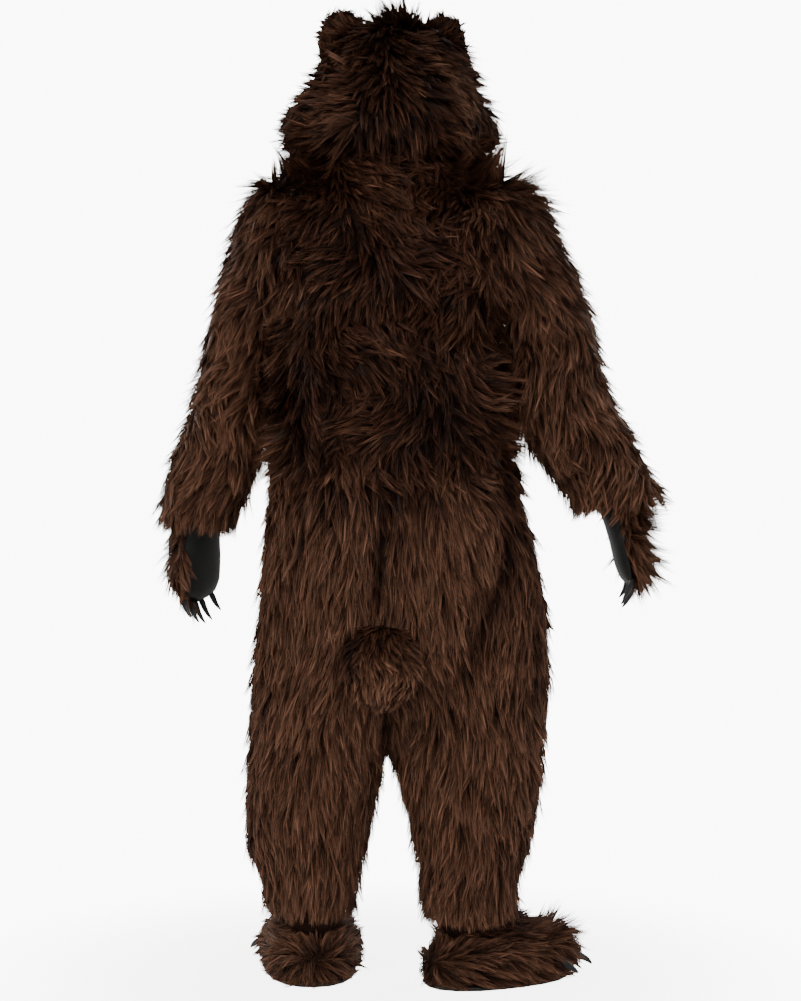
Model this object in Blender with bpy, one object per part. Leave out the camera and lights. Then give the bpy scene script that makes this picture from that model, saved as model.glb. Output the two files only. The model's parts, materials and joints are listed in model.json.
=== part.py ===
"""Hooded bear costume in long brown fur cloth, filled out as if worn, standing with its arms down.

Metres, Z up. The costume's back faces -Y, its own left side is -X. The origin is between the shoulders
at the neck seam, where a wearer carries the weight. Each object is one cut piece of cloth or one claw.
A wall of fur cloth runs from its knitted backing on the inside to the reach of its lying pile outside.
"""

import math

import bmesh
import bpy
import numpy as np
from mathutils import Vector
from mathutils.bvhtree import BVHTree

# Driving sizes
FLOOR = -1.488
BODY_WALL = 0.018
HEM_LIFT = 0.024
SLEEVE_WALL = 0.016
HOOD_WALL = 0.017
HOOD_SEAM_WALL = 0.004
HOOD_TAPER = 0.60
PALM_WALL = 0.0025
SOLE_WALL = 0.004
SEAM_HALF = 0.0002

CROTCH = -1.092
SEAT = -0.860
ARMPIT = -0.290
ARMHOLE_X = {-1: 0.2065, 1: 0.2105}
ARMHOLE_TOP = -0.004
ARMHOLE_BOTTOM = -0.288
ARMHOLE_DEPTH = 0.105
NECK_HALF_WIDTH = 0.115
NECK_BACK = 0.095
NECK_FRONT = 0.105
NECK_HEIGHT = 0.034
NECK_FRONT_DROP = 0.049
NAPE_RISE = 0.003
NECK_GAP = 0.0010

# How many points: along each stage of a body panel, and across its back and front. The waist seam, where
# the shaggy pile of the back meets the combed pile below it, is a row of the torso
LEG_ROWS = 10
CROTCH_ROWS = 6
TORSO_ROWS = 10
WAIST_ROW = 5
ARMHOLE_ROWS = 5
SHOULDER_ROWS = 3
BACK_COLUMNS = 13
FRONT_COLUMNS = 9

# Legs. height, left inner, left outer, right inner, right outer, left y, right y, half depth
LEGS = (
    (-1.375, 0.066, 0.216, 0.080, 0.240, -0.030, -0.075, 0.080),
    (-1.340, 0.054, 0.229, 0.060, 0.238, -0.028, -0.070, 0.088),
    (-1.310, 0.052, 0.235, 0.052, 0.240, -0.026, -0.064, 0.096),
    (-1.253, 0.037, 0.259, 0.050, 0.258, -0.022, -0.050, 0.112),
    (-1.197, 0.027, 0.267, 0.037, 0.273, -0.016, -0.034, 0.126),
    (-1.141, 0.014, 0.266, 0.024, 0.285, -0.008, -0.014, 0.139),
    (-1.092, 0.000, 0.261, 0.000, 0.291, 0.000, 0.000, 0.150),
    (-0.860, 0.000, 0.246, 0.000, 0.299, 0.000, 0.000, 0.160),
)

# Trunk. height, left half width, right half width, depth behind, depth in front
TRUNK = (
    (-1.092, 0.261, 0.291, 0.152, 0.150),
    (-1.000, 0.260, 0.303, 0.168, 0.160),
    (-0.944, 0.255, 0.304, 0.175, 0.168),
    (-0.888, 0.248, 0.301, 0.175, 0.176),
    (-0.832, 0.244, 0.296, 0.170, 0.183),
    (-0.776, 0.239, 0.290, 0.164, 0.188),
    (-0.720, 0.235, 0.280, 0.160, 0.190),
    (-0.664, 0.231, 0.267, 0.157, 0.190),
    (-0.608, 0.226, 0.252, 0.156, 0.187),
    (-0.552, 0.221, 0.239, 0.157, 0.183),
    (-0.490, 0.216, 0.227, 0.160, 0.178),
    (-0.420, 0.212, 0.219, 0.163, 0.173),
    (-0.350, 0.209, 0.214, 0.165, 0.169),
    (-0.290, 0.2065, 0.2105, 0.165, 0.165),
)

# Middle of the back and front above the armpit. share of the way up, back y, back z, front y, front z
UPPER = (
    (0.00, -0.165, -0.290, 0.165, -0.290),
    (0.20, -0.166, -0.232, 0.165, -0.245),
    (0.40, -0.164, -0.170, 0.161, -0.198),
    (0.60, -0.156, -0.108, 0.152, -0.150),
    (0.80, -0.138, -0.048, 0.136, -0.095),
    (0.90, -0.120, -0.008, 0.122, -0.052),
    (1.00, -0.095, 0.037, 0.105, -0.015),
)
ARMHOLE_SHARE = 0.70

# Sleeves, ring by ring. outer x, outer z, inner x, inner z, middle y, half depth
SLEEVE_LEFT = (
    (0.2069, -0.004, 0.2069, -0.288, 0.000, 0.105),
    (0.2320, -0.014, 0.2090, -0.294, 0.000, 0.104),
    (0.2570, -0.038, 0.2110, -0.300, 0.000, 0.102),
    (0.2770, -0.080, 0.2130, -0.307, 0.001, 0.099),
    (0.2920, -0.130, 0.2145, -0.316, 0.002, 0.096),
    (0.3060, -0.180, 0.2160, -0.328, 0.003, 0.094),
    (0.3190, -0.228, 0.2175, -0.345, 0.004, 0.092),
    (0.3310, -0.275, 0.2190, -0.366, 0.006, 0.090),
    (0.3410, -0.320, 0.2205, -0.390, 0.008, 0.088),
    (0.3510, -0.362, 0.2225, -0.418, 0.010, 0.087),
    (0.3620, -0.402, 0.2260, -0.448, 0.014, 0.087),
    (0.3750, -0.445, 0.2320, -0.482, 0.020, 0.086),
    (0.3920, -0.490, 0.2415, -0.522, 0.028, 0.084),
    (0.4100, -0.535, 0.2535, -0.565, 0.036, 0.082),
    (0.4250, -0.583, 0.2700, -0.612, 0.044, 0.079),
    (0.4300, -0.640, 0.2990, -0.664, 0.052, 0.073),
)
SLEEVE_RIGHT = (
    (0.2109, -0.004, 0.2109, -0.288, 0.000, 0.105),
    (0.2400, -0.012, 0.2135, -0.294, 0.000, 0.104),
    (0.2720, -0.035, 0.2160, -0.300, 0.000, 0.102),
    (0.2970, -0.075, 0.2185, -0.307, 0.001, 0.099),
    (0.3200, -0.125, 0.2205, -0.316, 0.002, 0.097),
    (0.3450, -0.172, 0.2225, -0.328, 0.003, 0.096),
    (0.3640, -0.222, 0.2250, -0.345, 0.004, 0.095),
    (0.3800, -0.270, 0.2275, -0.366, 0.006, 0.094),
    (0.3910, -0.315, 0.2310, -0.390, 0.008, 0.093),
    (0.4000, -0.358, 0.2355, -0.418, 0.010, 0.092),
    (0.4130, -0.400, 0.2420, -0.448, 0.014, 0.091),
    (0.4330, -0.442, 0.2540, -0.480, 0.020, 0.090),
    (0.4550, -0.480, 0.2710, -0.512, 0.026, 0.088),
    (0.4740, -0.518, 0.2960, -0.548, 0.032, 0.086),
    (0.4960, -0.553, 0.3270, -0.588, 0.038, 0.083),
    (0.5120, -0.587, 0.3590, -0.628, 0.044, 0.077),
)
SLEEVES = {-1: SLEEVE_LEFT, 1: SLEEVE_RIGHT}
SLEEVE_ROWS = 17
SLEEVE_COLUMNS = 17

# Hood arches, front edge to neck seam. share, top y, z, then x, y, z of the high, middle and low points
HOOD = (
    (0.00, 0.112, 0.246, 0.072, 0.114, 0.208, 0.104, 0.110, 0.130, 0.094, 0.106, 0.050),
    (0.22, 0.045, 0.283, 0.106, 0.048, 0.246, 0.138, 0.045, 0.165, 0.160, 0.052, 0.068),
    (0.46, -0.060, 0.275, 0.108, -0.045, 0.240, 0.150, -0.030, 0.165, 0.193, -0.018, 0.074),
    (0.72, -0.140, 0.172, 0.080, -0.128, 0.160, 0.136, -0.098, 0.120, 0.178, -0.060, 0.070),
    (0.88, -0.166, 0.092, 0.078, -0.152, 0.086, 0.130, -0.116, 0.074, 0.158, -0.066, 0.057),
)
HOOD_END_FRONT = math.radians(155)
HOOD_END_SIDE = math.radians(90)
HOOD_ROWS = 15
HOOD_COLUMNS = 23
HOOD_STRIP_COLUMNS = 6
HOOD_TURN = math.radians(12)
HOOD_LEAN = 0.016

# Soft folds. face, start x, start z, end x, end z, half width, depth; a ridge has a depth below nought
FOLDS = (
    (-1, 0.170, -0.420, 0.196, -0.640, 0.026, 0.012),
    (-1, 0.196, -0.640, 0.188, -0.800, 0.028, 0.017),
    (-1, 0.188, -0.800, 0.120, -1.000, 0.030, 0.016),
    (-1, 0.238, -0.700, 0.250, -0.900, 0.030, -0.008),
    (-1, 0.270, -0.920, 0.262, -1.060, 0.024, 0.010),
    (-1, 0.000, -0.590, -0.012, -0.800, 0.026, 0.009),
    (-1, -0.001, -0.960, -0.003, -1.090, 0.034, 0.012),
    (-1, -0.130, -0.340, -0.120, -0.530, 0.026, 0.007),
    (-1, -0.176, -0.360, -0.168, -0.600, 0.024, 0.009),
    (-1, 0.075, -0.180, 0.100, -0.420, 0.030, 0.006),
    (-1, -0.070, -0.120, -0.080, -0.330, 0.030, 0.006),
    (-1, -0.215, -0.800, -0.120, -0.960, 0.034, 0.008),
    (-1, -0.235, -0.930, -0.150, -1.080, 0.034, 0.009),
    (-1, -0.205, -1.080, -0.215, -1.220, 0.028, 0.008),
    (-1, -0.085, -1.110, -0.120, -1.260, 0.030, 0.007),
    (-1, 0.090, -1.040, 0.190, -1.140, 0.030, 0.009),
    (-1, 0.110, -1.170, 0.235, -1.215, 0.026, 0.011),
    (-1, 0.075, -1.245, 0.200, -1.262, 0.024, 0.010),
    (-1, 0.100, -1.315, 0.215, -1.300, 0.022, 0.007),
    (-1, -0.230, -1.295, -0.110, -1.320, 0.024, 0.007),
    (1, -0.160, -0.430, -0.185, -0.700, 0.034, 0.011),
    (1, 0.150, -0.400, 0.180, -0.640, 0.034, 0.010),
    (1, -0.060, -0.260, -0.075, -0.520, 0.036, 0.006),
    (1, 0.070, -0.300, 0.060, -0.560, 0.036, 0.006),
    (1, -0.200, -0.760, -0.080, -0.960, 0.038, 0.010),
    (1, 0.225, -0.780, 0.100, -0.990, 0.038, 0.011),
    (1, 0.000, -0.900, 0.002, -1.080, 0.036, 0.009),
    (1, -0.190, -1.040, -0.090, -1.130, 0.034, 0.008),
    (1, 0.090, -1.050, 0.210, -1.130, 0.034, 0.009),
    (1, -0.215, -1.230, -0.080, -1.250, 0.028, 0.008),
    (1, 0.080, -1.225, 0.225, -1.250, 0.028, 0.009),
    (1, -0.180, -1.315, -0.080, -1.300, 0.024, 0.006),
)

# Sleeve creases. side, share down, angle round in degrees, share's half width, angle's half width, depth
SLEEVE_CREASES = (
    (-1, 0.58, 200, 0.030, 75, 0.010),
    (-1, 0.66, 160, 0.028, 60, 0.009),
    (-1, 0.75, 250, 0.030, 70, 0.007),
    (-1, 0.47, 230, 0.032, 60, 0.007),
    (-1, 0.30, 300, 0.035, 55, 0.006),
    (-1, 0.86, 120, 0.028, 70, 0.006),
    (1, 0.54, 260, 0.030, 65, 0.010),
    (1, 0.62, 200, 0.028, 75, 0.012),
    (1, 0.70, 150, 0.028, 65, 0.010),
    (1, 0.78, 230, 0.028, 70, 0.008),
    (1, 0.42, 290, 0.032, 55, 0.007),
    (1, 0.28, 240, 0.035, 50, 0.006),
    (1, 0.88, 120, 0.028, 70, 0.006),
)

# Gloves: wrist middle, hand direction, palm direction, then sizes down the hand
GLOVE_PLACES = {
    -1: ((-0.3603, 0.048, -0.624), (-0.02, 0.06, -1.0), (0.83, -0.56, 0.0)),
    1: ((0.429, 0.0335, -0.592), (0.17, 0.06, -1.0), (-0.99, 0.02, 0.0)),
}
# share down the hand, half width, half thickness on the fur side, half thickness on the palm side
GLOVE_FORM = (
    (0.00, 0.052, 0.046, 0.042),
    (0.18, 0.050, 0.042, 0.036),
    (0.36, 0.054, 0.040, 0.030),
    (0.56, 0.060, 0.041, 0.026),
    (0.74, 0.060, 0.038, 0.024),
    (0.90, 0.051, 0.029, 0.018),
    (0.97, 0.043, 0.017, 0.010),
    (1.00, 0.036, 0.0075, 0.0036),
)
GLOVE_CLEAR = 0.0008
# share down the hand, thickness of the fur cloth
GLOVE_WALLS = ((0.0, 0.007), (0.2, 0.009), (0.4, 0.012), (0.8, 0.012), (1.0, 0.0068))
GLOVE_LENGTH = {-1: 0.178, 1: 0.180}
GLOVE_ROWS = 10
GLOVE_FUR_COLUMNS = 9
GLOVE_PALM_COLUMNS = 8

# Claws of a hand. place across from -1 to 1, how far down, length
HAND_CLAWS = (
    (-0.74, 0.80, 0.040),
    (-0.42, 0.95, 0.050),
    (-0.06, 1.00, 0.054),
    (0.30, 0.97, 0.052),
    (0.64, 0.88, 0.046),
)
CLAW_RADIUS = 0.0065
CLAW_RINGS = 4
CLAW_SIDES = 6

# Shoe covers: ankle middle and the way the toes point, as degrees outwards from straight ahead
SHOE_PLACES = {-1: (-0.141, -0.030, 6.0), 1: (0.160, -0.075, 60.0)}
# height over the floor, back of the heel, tip of the toe, half width, all from the ankle's middle
SHOE_FORM = (
    (0.0045, -0.098, 0.190, 0.086),
    (0.0220, -0.108, 0.205, 0.095),
    (0.0450, -0.106, 0.210, 0.097),
    (0.0680, -0.088, 0.200, 0.090),
    (0.0790, -0.066, 0.186, 0.082),
    (0.0880, -0.056, 0.165, 0.072),
    (0.0980, -0.054, 0.132, 0.062),
    (0.1080, -0.053, 0.098, 0.0535),
    (0.1200, -0.052, 0.068, 0.0525),
    (0.1350, -0.052, 0.055, 0.0520),
    (0.1560, -0.051, 0.052, 0.0510),
)
SHOE_COLUMNS = 13
ANKLE_EASE = {-1: 0.0035, 1: 0.0018}
# height over the floor, thickness of the fur cloth
SHOE_WALLS = ((0.0045, 0.014), (0.080, 0.014), (0.110, 0.010), (0.156, 0.007))
TOE_TROUGHS = (-46, -15, 15, 46)
TOE_TROUGH_DEPTH = 0.040
FOOT_CLAWS = (-60, -30, 0, 30, 60)
FOOT_CLAW_LENGTH = 0.034
FOOT_CLAW_HEIGHT = 0.034

# Tail: middle, and half sizes across, outwards and up
TAIL_MIDDLE = (-0.010, -0.203, -0.897)
TAIL_HALF = (0.072, 0.062, 0.074)
TAIL_CLEAR = 0.0012
# Ears: share back from the face edge, then where they start and end across the hood
EAR_PLACES = {-1: (0.30, 0.13, 0.38), 1: (0.30, 0.13, 0.38)}
EAR_HEIGHT = 0.052
EAR_SPREAD = 0.026
EAR_CLEAR = 0.0004
EAR_COLUMNS = 9
EAR_ROWS = 5
SEAT_CLEAR = 0.0003

FUR = ("bear_fur", (0.052, 0.025, 0.016, 1.0), 0.85)
DARK_FUR = ("dark_fur", (0.020, 0.010, 0.007, 1.0), 0.85)
PALM = ("palm_cloth", (0.010, 0.011, 0.011, 1.0), 0.45)
CLAW = ("claw_plastic", (0.006, 0.006, 0.007, 1.0), 0.20)
SOLE = ("sole_cloth", (0.012, 0.011, 0.010, 1.0), 0.80)


def clear_scene():
    for thing in list(bpy.data.objects):
        bpy.data.objects.remove(thing, do_unlink=True)


def material_of(look):
    name, colour, roughness = look
    found = bpy.data.materials.get(name)
    if found:
        return found
    made = bpy.data.materials.new(name)
    made.use_nodes = True
    shader = made.node_tree.nodes["Principled BSDF"]
    shader.inputs["Base Color"].default_value = colour
    shader.inputs["Roughness"].default_value = roughness
    return made


def smooth(rows, column, at):
    """A column's value at places down the first column, along a cubic that follows the rows."""
    rows = np.asarray(rows, float)
    places = rows[:, 0]
    values = rows[:, column]
    steps = np.diff(values) / np.diff(places)
    slopes = np.empty(len(values))
    slopes[0] = steps[0]
    slopes[-1] = steps[-1]
    both = steps[1:] + steps[:-1]
    both = np.where(np.abs(both) < 1e-12, 1.0, both)
    slopes[1:-1] = np.where(steps[1:] * steps[:-1] > 0, 2 * steps[1:] * steps[:-1] / both, 0.0)
    at = np.clip(np.asarray(at, float), places[0], places[-1])
    low = np.clip(np.searchsorted(places, at, side="right") - 1, 0, len(places) - 2)
    width = places[low + 1] - places[low]
    s = (at - places[low]) / width
    return (
        (2 * s**3 - 3 * s**2 + 1) * values[low]
        + (s**3 - 2 * s**2 + s) * width * slopes[low]
        + (3 * s**2 - 2 * s**3) * values[low + 1]
        + (s**3 - s**2) * width * slopes[low + 1]
    )


def roundness(angle, power):
    """How far a rounded box reaches at an angle, where 2 is an ellipse."""
    return 1.0 / (np.abs(np.cos(angle)) ** power + np.abs(np.sin(angle)) ** power) ** (1.0 / power)


def units(vectors):
    return vectors / np.maximum(np.linalg.norm(vectors, axis=-1, keepdims=True), 1e-12)


def grid_normals(points):
    along = np.gradient(points, axis=0)
    across = np.gradient(points, axis=1)
    return units(np.cross(across, along))


def shell(name, outer, inner, look):
    """One closed piece of cloth between an outer and an inner grid of points."""
    rows, columns, _ = outer.shape
    points = np.concatenate([outer.reshape(-1, 3), inner.reshape(-1, 3)])
    far = rows * columns
    faces = []
    for i in range(rows - 1):
        for j in range(columns - 1):
            a = i * columns + j
            corners = (a, a + 1, a + columns + 1, a + columns)
            faces.append(corners)
            faces.append(tuple(far + c for c in reversed(corners)))
    rim = list(range(columns))
    rim += [i * columns + columns - 1 for i in range(1, rows)]
    rim += [(rows - 1) * columns + j for j in range(columns - 2, -1, -1)]
    rim += [i * columns for i in range(rows - 2, 0, -1)]
    for a, b in zip(rim, rim[1:] + rim[:1]):
        if a < b:
            faces += [(b, a, far + b), (a, far + a, far + b)]
        else:
            faces += [(b, a, far + a), (b, far + a, far + b)]
    return solid(name, points, faces, look)


def solid(name, points, faces, look):
    mesh = bpy.data.meshes.new(name)
    mesh.from_pydata([tuple(p) for p in points], [], faces)
    work = bmesh.new()
    work.from_mesh(mesh)
    bmesh.ops.remove_doubles(work, verts=work.verts, dist=1e-6)
    bmesh.ops.recalc_face_normals(work, faces=work.faces)
    if work.calc_volume(signed=True) < 0:
        bmesh.ops.reverse_faces(work, faces=work.faces)
    work.to_mesh(mesh)
    work.free()
    thing = bpy.data.objects.new(name, mesh)
    thing.data.materials.append(material_of(look))
    bpy.context.scene.collection.objects.link(thing)
    return thing


def draw_in(grid, first, last):
    """Moves the first or last column of a grid towards the next one, to leave half a seam's gap."""
    moved = grid.copy()
    if first:
        moved[:, 0] += SEAM_HALF * units(grid[:, 1] - grid[:, 0])
    if last:
        moved[:, -1] += SEAM_HALF * units(grid[:, -2] - grid[:, -1])
    return moved


def cut_across(grid, row):
    """The parts of a grid below and above a seam that runs along one of its rows, with the seam's gap."""
    down = units(grid[row - 1] - grid[row + 1])
    below = grid[: row + 1].copy()
    above = grid[row:].copy()
    below[-1] += SEAM_HALF * down
    above[0] -= SEAM_HALF * down
    return below, above


def neckline(angle):
    """A point of the neck seam. The angle runs from the nape round to the throat."""
    angle = np.asarray(angle, float)
    depth = np.where(np.cos(angle) > 0, NECK_BACK, NECK_FRONT)
    front = np.clip((angle - math.pi / 2) / (math.pi / 2), 0, 1)
    z = NECK_HEIGHT + NAPE_RISE * np.clip(np.cos(angle), 0, 1) - NECK_FRONT_DROP * front**1.5
    return np.stack([NECK_HALF_WIDTH * np.sin(angle), -depth * np.cos(angle), z], axis=-1)


def body_grid(side, face, rows, columns):
    """Outer points of one body panel: rows from ankle to neck, columns from the middle to the side."""
    leg_rows, crotch_rows, torso_rows, armhole_rows, shoulder_rows = rows
    u = np.linspace(0, 1, columns)
    depth_column = 3 if face < 0 else 4
    width_column = 1 if side < 0 else 2
    made = []

    def leg(z):
        inner = smooth(LEGS, 1 if side < 0 else 3, z)
        outer = smooth(LEGS, 2 if side < 0 else 4, z)
        middle_y = smooth(LEGS, 5 if side < 0 else 6, z)
        depth = smooth(LEGS, 7, z)
        angle = math.pi * u
        reach = roundness(angle, 2.25)
        x = side * ((inner + outer) / 2 - (outer - inner) / 2 * np.cos(angle) * reach)
        y = middle_y + face * depth * np.sin(angle) * reach
        turn = math.radians(SHOE_PLACES[side][2]) * side
        hem = np.clip((-1.30 - z) / 0.075, 0, 1)
        away_x = (x - side * (inner + outer) / 2) / (outer - inner) * 2
        away_y = (y - middle_y) / depth
        lift = HEM_LIFT * hem * (away_x * math.sin(turn) + away_y * math.cos(turn))
        return np.stack([x, y, z + lift], axis=-1)

    def trunk(z):
        width = smooth(TRUNK, width_column, z)
        depth = smooth(TRUNK, depth_column, z)
        angle = math.pi / 2 * u
        reach = roundness(angle, 2.5)
        x = side * width * np.sin(angle) * reach
        y = face * depth * np.cos(angle) * reach
        return np.stack([x, y, np.full_like(x, z)], axis=-1)

    for z in np.linspace(LEGS[0][0], CROTCH, leg_rows + 1)[:-1]:
        made.append(leg(z))
    for share in np.linspace(0, 1, crotch_rows + 1)[:-1]:
        z = CROTCH + (SEAT - CROTCH) * share
        swing = math.sin(share * math.pi / 2)
        points = (1 - swing) * leg(z) + swing * trunk(z)
        low = (SEAT - CROTCH) * (share - (1 - math.cos(share * math.pi / 2)))
        points[:, 2] -= low * (1 - u) ** 2
        made.append(points)
    for z in np.linspace(SEAT, ARMPIT, torso_rows + 1)[:-1]:
        made.append(trunk(z))

    reach_x = ARMHOLE_X[side]
    half = (ARMHOLE_TOP - ARMHOLE_BOTTOM) / 2
    mid_z = (ARMHOLE_TOP + ARMHOLE_BOTTOM) / 2
    y_column = 1 if face < 0 else 3
    z_column = 2 if face < 0 else 4
    total = armhole_rows + shoulder_rows
    shares = [ARMHOLE_SHARE * k / armhole_rows for k in range(armhole_rows)]
    shares += [ARMHOLE_SHARE + (1 - ARMHOLE_SHARE) * k / shoulder_rows for k in range(shoulder_rows + 1)]
    for k, share in enumerate(shares):
        middle_y = smooth(UPPER, y_column, share)
        middle_z = smooth(UPPER, z_column, share)
        if k <= armhole_rows:
            turn = math.pi * k / armhole_rows
            end = (reach_x, face * ARMHOLE_DEPTH * math.sin(turn), mid_z - half * math.cos(turn))
            if k == 0:
                end = (reach_x, 0.0, ARMPIT)
            wide = math.radians(90 - 42 * min(1.0, 2.0 * k / armhole_rows))
        else:
            inward = (share - ARMHOLE_SHARE) / (1 - ARMHOLE_SHARE)
            x = reach_x + (NECK_HALF_WIDTH - reach_x) * inward
            lift = 0.010 * math.sin(math.pi * inward)
            end = (x, 0.0, ARMHOLE_TOP + (NECK_HEIGHT - ARMHOLE_TOP) * inward + lift)
            wide = math.radians(48 + 42 * inward)
        angle = wide * u
        power = 2.5 - 0.5 * share
        reach = roundness(angle, power)
        last = float(roundness(np.array(wide), power))
        across = np.sin(angle) * reach / (math.sin(wide) * last)
        back = (np.cos(angle) * reach - math.cos(wide) * last) / (1 - math.cos(wide) * last)
        x = side * end[0] * across
        y = end[1] + (middle_y - end[1]) * back
        z = end[2] + (middle_z - end[2]) * back
        if k == total:
            ring = neckline(angle if face < 0 else math.pi - angle)
            x = side * ring[:, 0]
            y = ring[:, 1]
            z = ring[:, 2]
        made.append(np.stack([x, y, z], axis=-1))
    return np.array(made)


def fold_depths(points, face):
    """How far each point of a body grid is drawn in by the folds of its face."""
    depth = np.zeros(points.shape[:-1])
    x = points[..., 0]
    z = points[..., 2]
    for fold_face, x0, z0, x1, z1, width, amount in FOLDS:
        if fold_face != face:
            continue
        dx = x1 - x0
        dz = z1 - z0
        length = math.hypot(dx, dz)
        along = ((x - x0) * dx + (z - z0) * dz) / length**2
        off = ((x - x0) * dz - (z - z0) * dx) / length
        ends = np.clip(np.minimum(along, 1 - along) / 0.3 + 0.25, 0, 1)
        depth += amount * np.exp(-((off / width) ** 2)) * ends**2 * (3 - 2 * ends)
    return depth


def body_panels(rows, columns):
    """(outer, normals) for each side and face, with what two panels share at a seam made the same."""
    crotch = rows[0]
    armpit = rows[0] + rows[1] + rows[2]
    top = armpit + rows[3]
    points = {}
    for side in (-1, 1):
        for face in (-1, 1):
            points[side, face] = body_grid(side, face, rows, columns[face])

    def matched_normals():
        found = {}
        for (side, face), grid in points.items():
            found[side, face] = grid_normals(grid) * (-side * face)
        for side in (-1, 1):
            back = found[side, -1]
            front = found[side, 1]
            seam = np.ones(len(back), bool)
            seam[armpit + 1 : top] = False
            both = units(back[:, -1] + front[:, -1])
            back[seam, -1] = both[seam]
            front[seam, -1] = both[seam]
            inseam = units(back[:, 0] + front[:, 0])
            back[:crotch, 0] = inseam[:crotch]
            front[:crotch, 0] = inseam[:crotch]
        for face in (-1, 1):
            both = units(found[-1, face][:, 0] + found[1, face][:, 0])
            for side in (-1, 1):
                found[side, face][crotch:, 0] = both[crotch:]
        point = units(sum(found[key][crotch, 0] for key in found))
        for key in found:
            found[key][crotch, 0] = point
        return found

    normals = matched_normals()
    for (side, face), grid in points.items():
        depth = fold_depths(grid, face)
        near_side = np.linspace(0, 1, grid.shape[1])
        edge = np.clip((1 - near_side) / 0.16, 0, 1)
        depth = depth * edge[None, :]
        depth[armpit - 1 :, :] *= np.clip((0.8 - near_side) / 0.3, 0, 1)[None, :]
        depth[: crotch + 1, 0] = 0
        depth[-3:, :] = 0
        points[side, face] = grid - normals[side, face] * depth[..., None]
    for face in (-1, 1):
        both = (points[-1, face][crotch:, 0] + points[1, face][crotch:, 0]) / 2
        both[:, 0] = 0
        for side in (-1, 1):
            points[side, face][crotch:, 0] = both
    normals = matched_normals()
    for (side, face), grid in normals.items():
        grid[armpit + 1 : top + 1, -1] = armhole_radius(points[side, face][armpit + 1 : top + 1, -1])
        grid[armpit, -1] = (side, 0.0, 0.0)
    return points, normals


def armhole_radius(points):
    """The direction out of the armhole's middle, level with its plane."""
    away = points - np.array([0.0, 0.0, (ARMHOLE_TOP + ARMHOLE_BOTTOM) / 2])
    away[..., 0] = 0
    return units(away)


def body_pieces():
    rows = (LEG_ROWS, CROTCH_ROWS, TORSO_ROWS, ARMHOLE_ROWS, SHOULDER_ROWS)
    points, normals = body_panels(rows, {-1: BACK_COLUMNS, 1: FRONT_COLUMNS})
    names = {-1: "left", 1: "right"}
    made = []
    for side in (-1, 1):
        for face in (-1, 1):
            outer = points[side, face]
            inner = outer - BODY_WALL * normals[side, face]
            outer = draw_in(outer, True, True)
            inner = draw_in(inner, True, True)
            for grid in (outer, inner):
                grid[LEG_ROWS:, 0, 0] = side * SEAM_HALF
            label = "%s_%s" % ("back" if face < 0 else "front", names[side])
            waist = LEG_ROWS + CROTCH_ROWS + WAIST_ROW
            outer_parts = cut_across(outer, waist)
            inner_parts = cut_across(inner, waist)
            made.append(shell("leg_" + label, outer_parts[0], inner_parts[0], FUR))
            made.append(shell("torso_" + label, outer_parts[1], inner_parts[1], DARK_FUR if face < 0 else FUR))
    return made


def sleeve_grid(side, rows, columns):
    """Outer points of a sleeve: rows from armhole to hem, columns once round from the underarm seam."""
    table = [(k / (len(SLEEVES[side]) - 1),) + row for k, row in enumerate(SLEEVES[side])]
    share = np.linspace(0, 1, rows)
    middle_y = smooth(table, 5, share)
    outer = np.stack([side * smooth(table, 1, share), middle_y, smooth(table, 2, share)], axis=-1)
    inner = np.stack([side * smooth(table, 3, share), middle_y, smooth(table, 4, share)], axis=-1)
    depth = smooth(table, 6, share)
    angle = np.linspace(0, 2 * math.pi, columns)
    power = 2.0 + 0.25 * np.clip(share / 0.25, 0, 1)
    reach = roundness(angle[None, :], power[:, None])
    middle = (outer + inner) / 2
    radial = (outer - inner) / 2
    points = middle[:, None, :] - radial[:, None, :] * (np.cos(angle)[None, :] * reach)[..., None]
    points[..., 1] -= depth[:, None] * np.sin(angle)[None, :] * reach
    return points


def sleeve_form(side, rows, columns):
    """(outer, normals) of a sleeve with its creases in it."""
    points = sleeve_grid(side, rows, columns)

    def closed_normals(grid):
        found = grid_normals(grid) * -side
        both = units(found[:, 0] + found[:, -1])
        found[:, 0] = both
        found[:, -1] = both
        return found

    normals = closed_normals(points)
    share = np.linspace(0, 1, rows)[:, None]
    angle = np.degrees(np.linspace(0, 2 * math.pi, columns))[None, :]
    depth = np.zeros(points.shape[:-1])
    for crease_side, place, turn, high, wide, amount in SLEEVE_CREASES:
        if crease_side != side:
            continue
        away = np.abs((angle - 90 - turn + 180) % 360 - 180)
        slanted = place + 0.02 * np.sin(np.radians(angle * 2 + turn))
        depth += amount * np.exp(-(((share - slanted) / high) ** 2) - (away / wide) ** 2)
    depth *= np.clip(share / 0.25, 0, 1) * np.clip((1.0 - share) / 0.06, 0, 1)
    clear = np.clip(np.minimum(angle, 360 - angle) / 40.0, 0, 1)
    points = points - normals * (depth * clear)[..., None]
    normals = closed_normals(points)
    normals[0] = armhole_radius(points[0])
    return points, normals


def sleeve_pieces():
    made = []
    for side, label in ((-1, "sleeve_left"), (1, "sleeve_right")):
        outer, normals = sleeve_form(side, SLEEVE_ROWS, SLEEVE_COLUMNS)
        inner = outer - SLEEVE_WALL * normals
        made.append(shell(label, draw_in(outer, True, True), draw_in(inner, True, True), FUR))
    return made


def hood_turned(points):
    """The hood's form follows the head, which is turned and leans a little above the neck."""
    height = np.clip((points[..., 2] - NECK_HEIGHT) / 0.06, 0, 1)
    height = height**2 * (3 - 2 * height)
    turn = HOOD_TURN * height
    x = points[..., 0] * np.cos(turn) - points[..., 1] * np.sin(turn)
    y = points[..., 0] * np.sin(turn) + points[..., 1] * np.cos(turn)
    lean = HOOD_LEAN * np.clip(points[..., 2] - NECK_HEIGHT, 0, 1) / 0.25
    return np.stack([x + lean, y, points[..., 2]], axis=-1)


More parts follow.
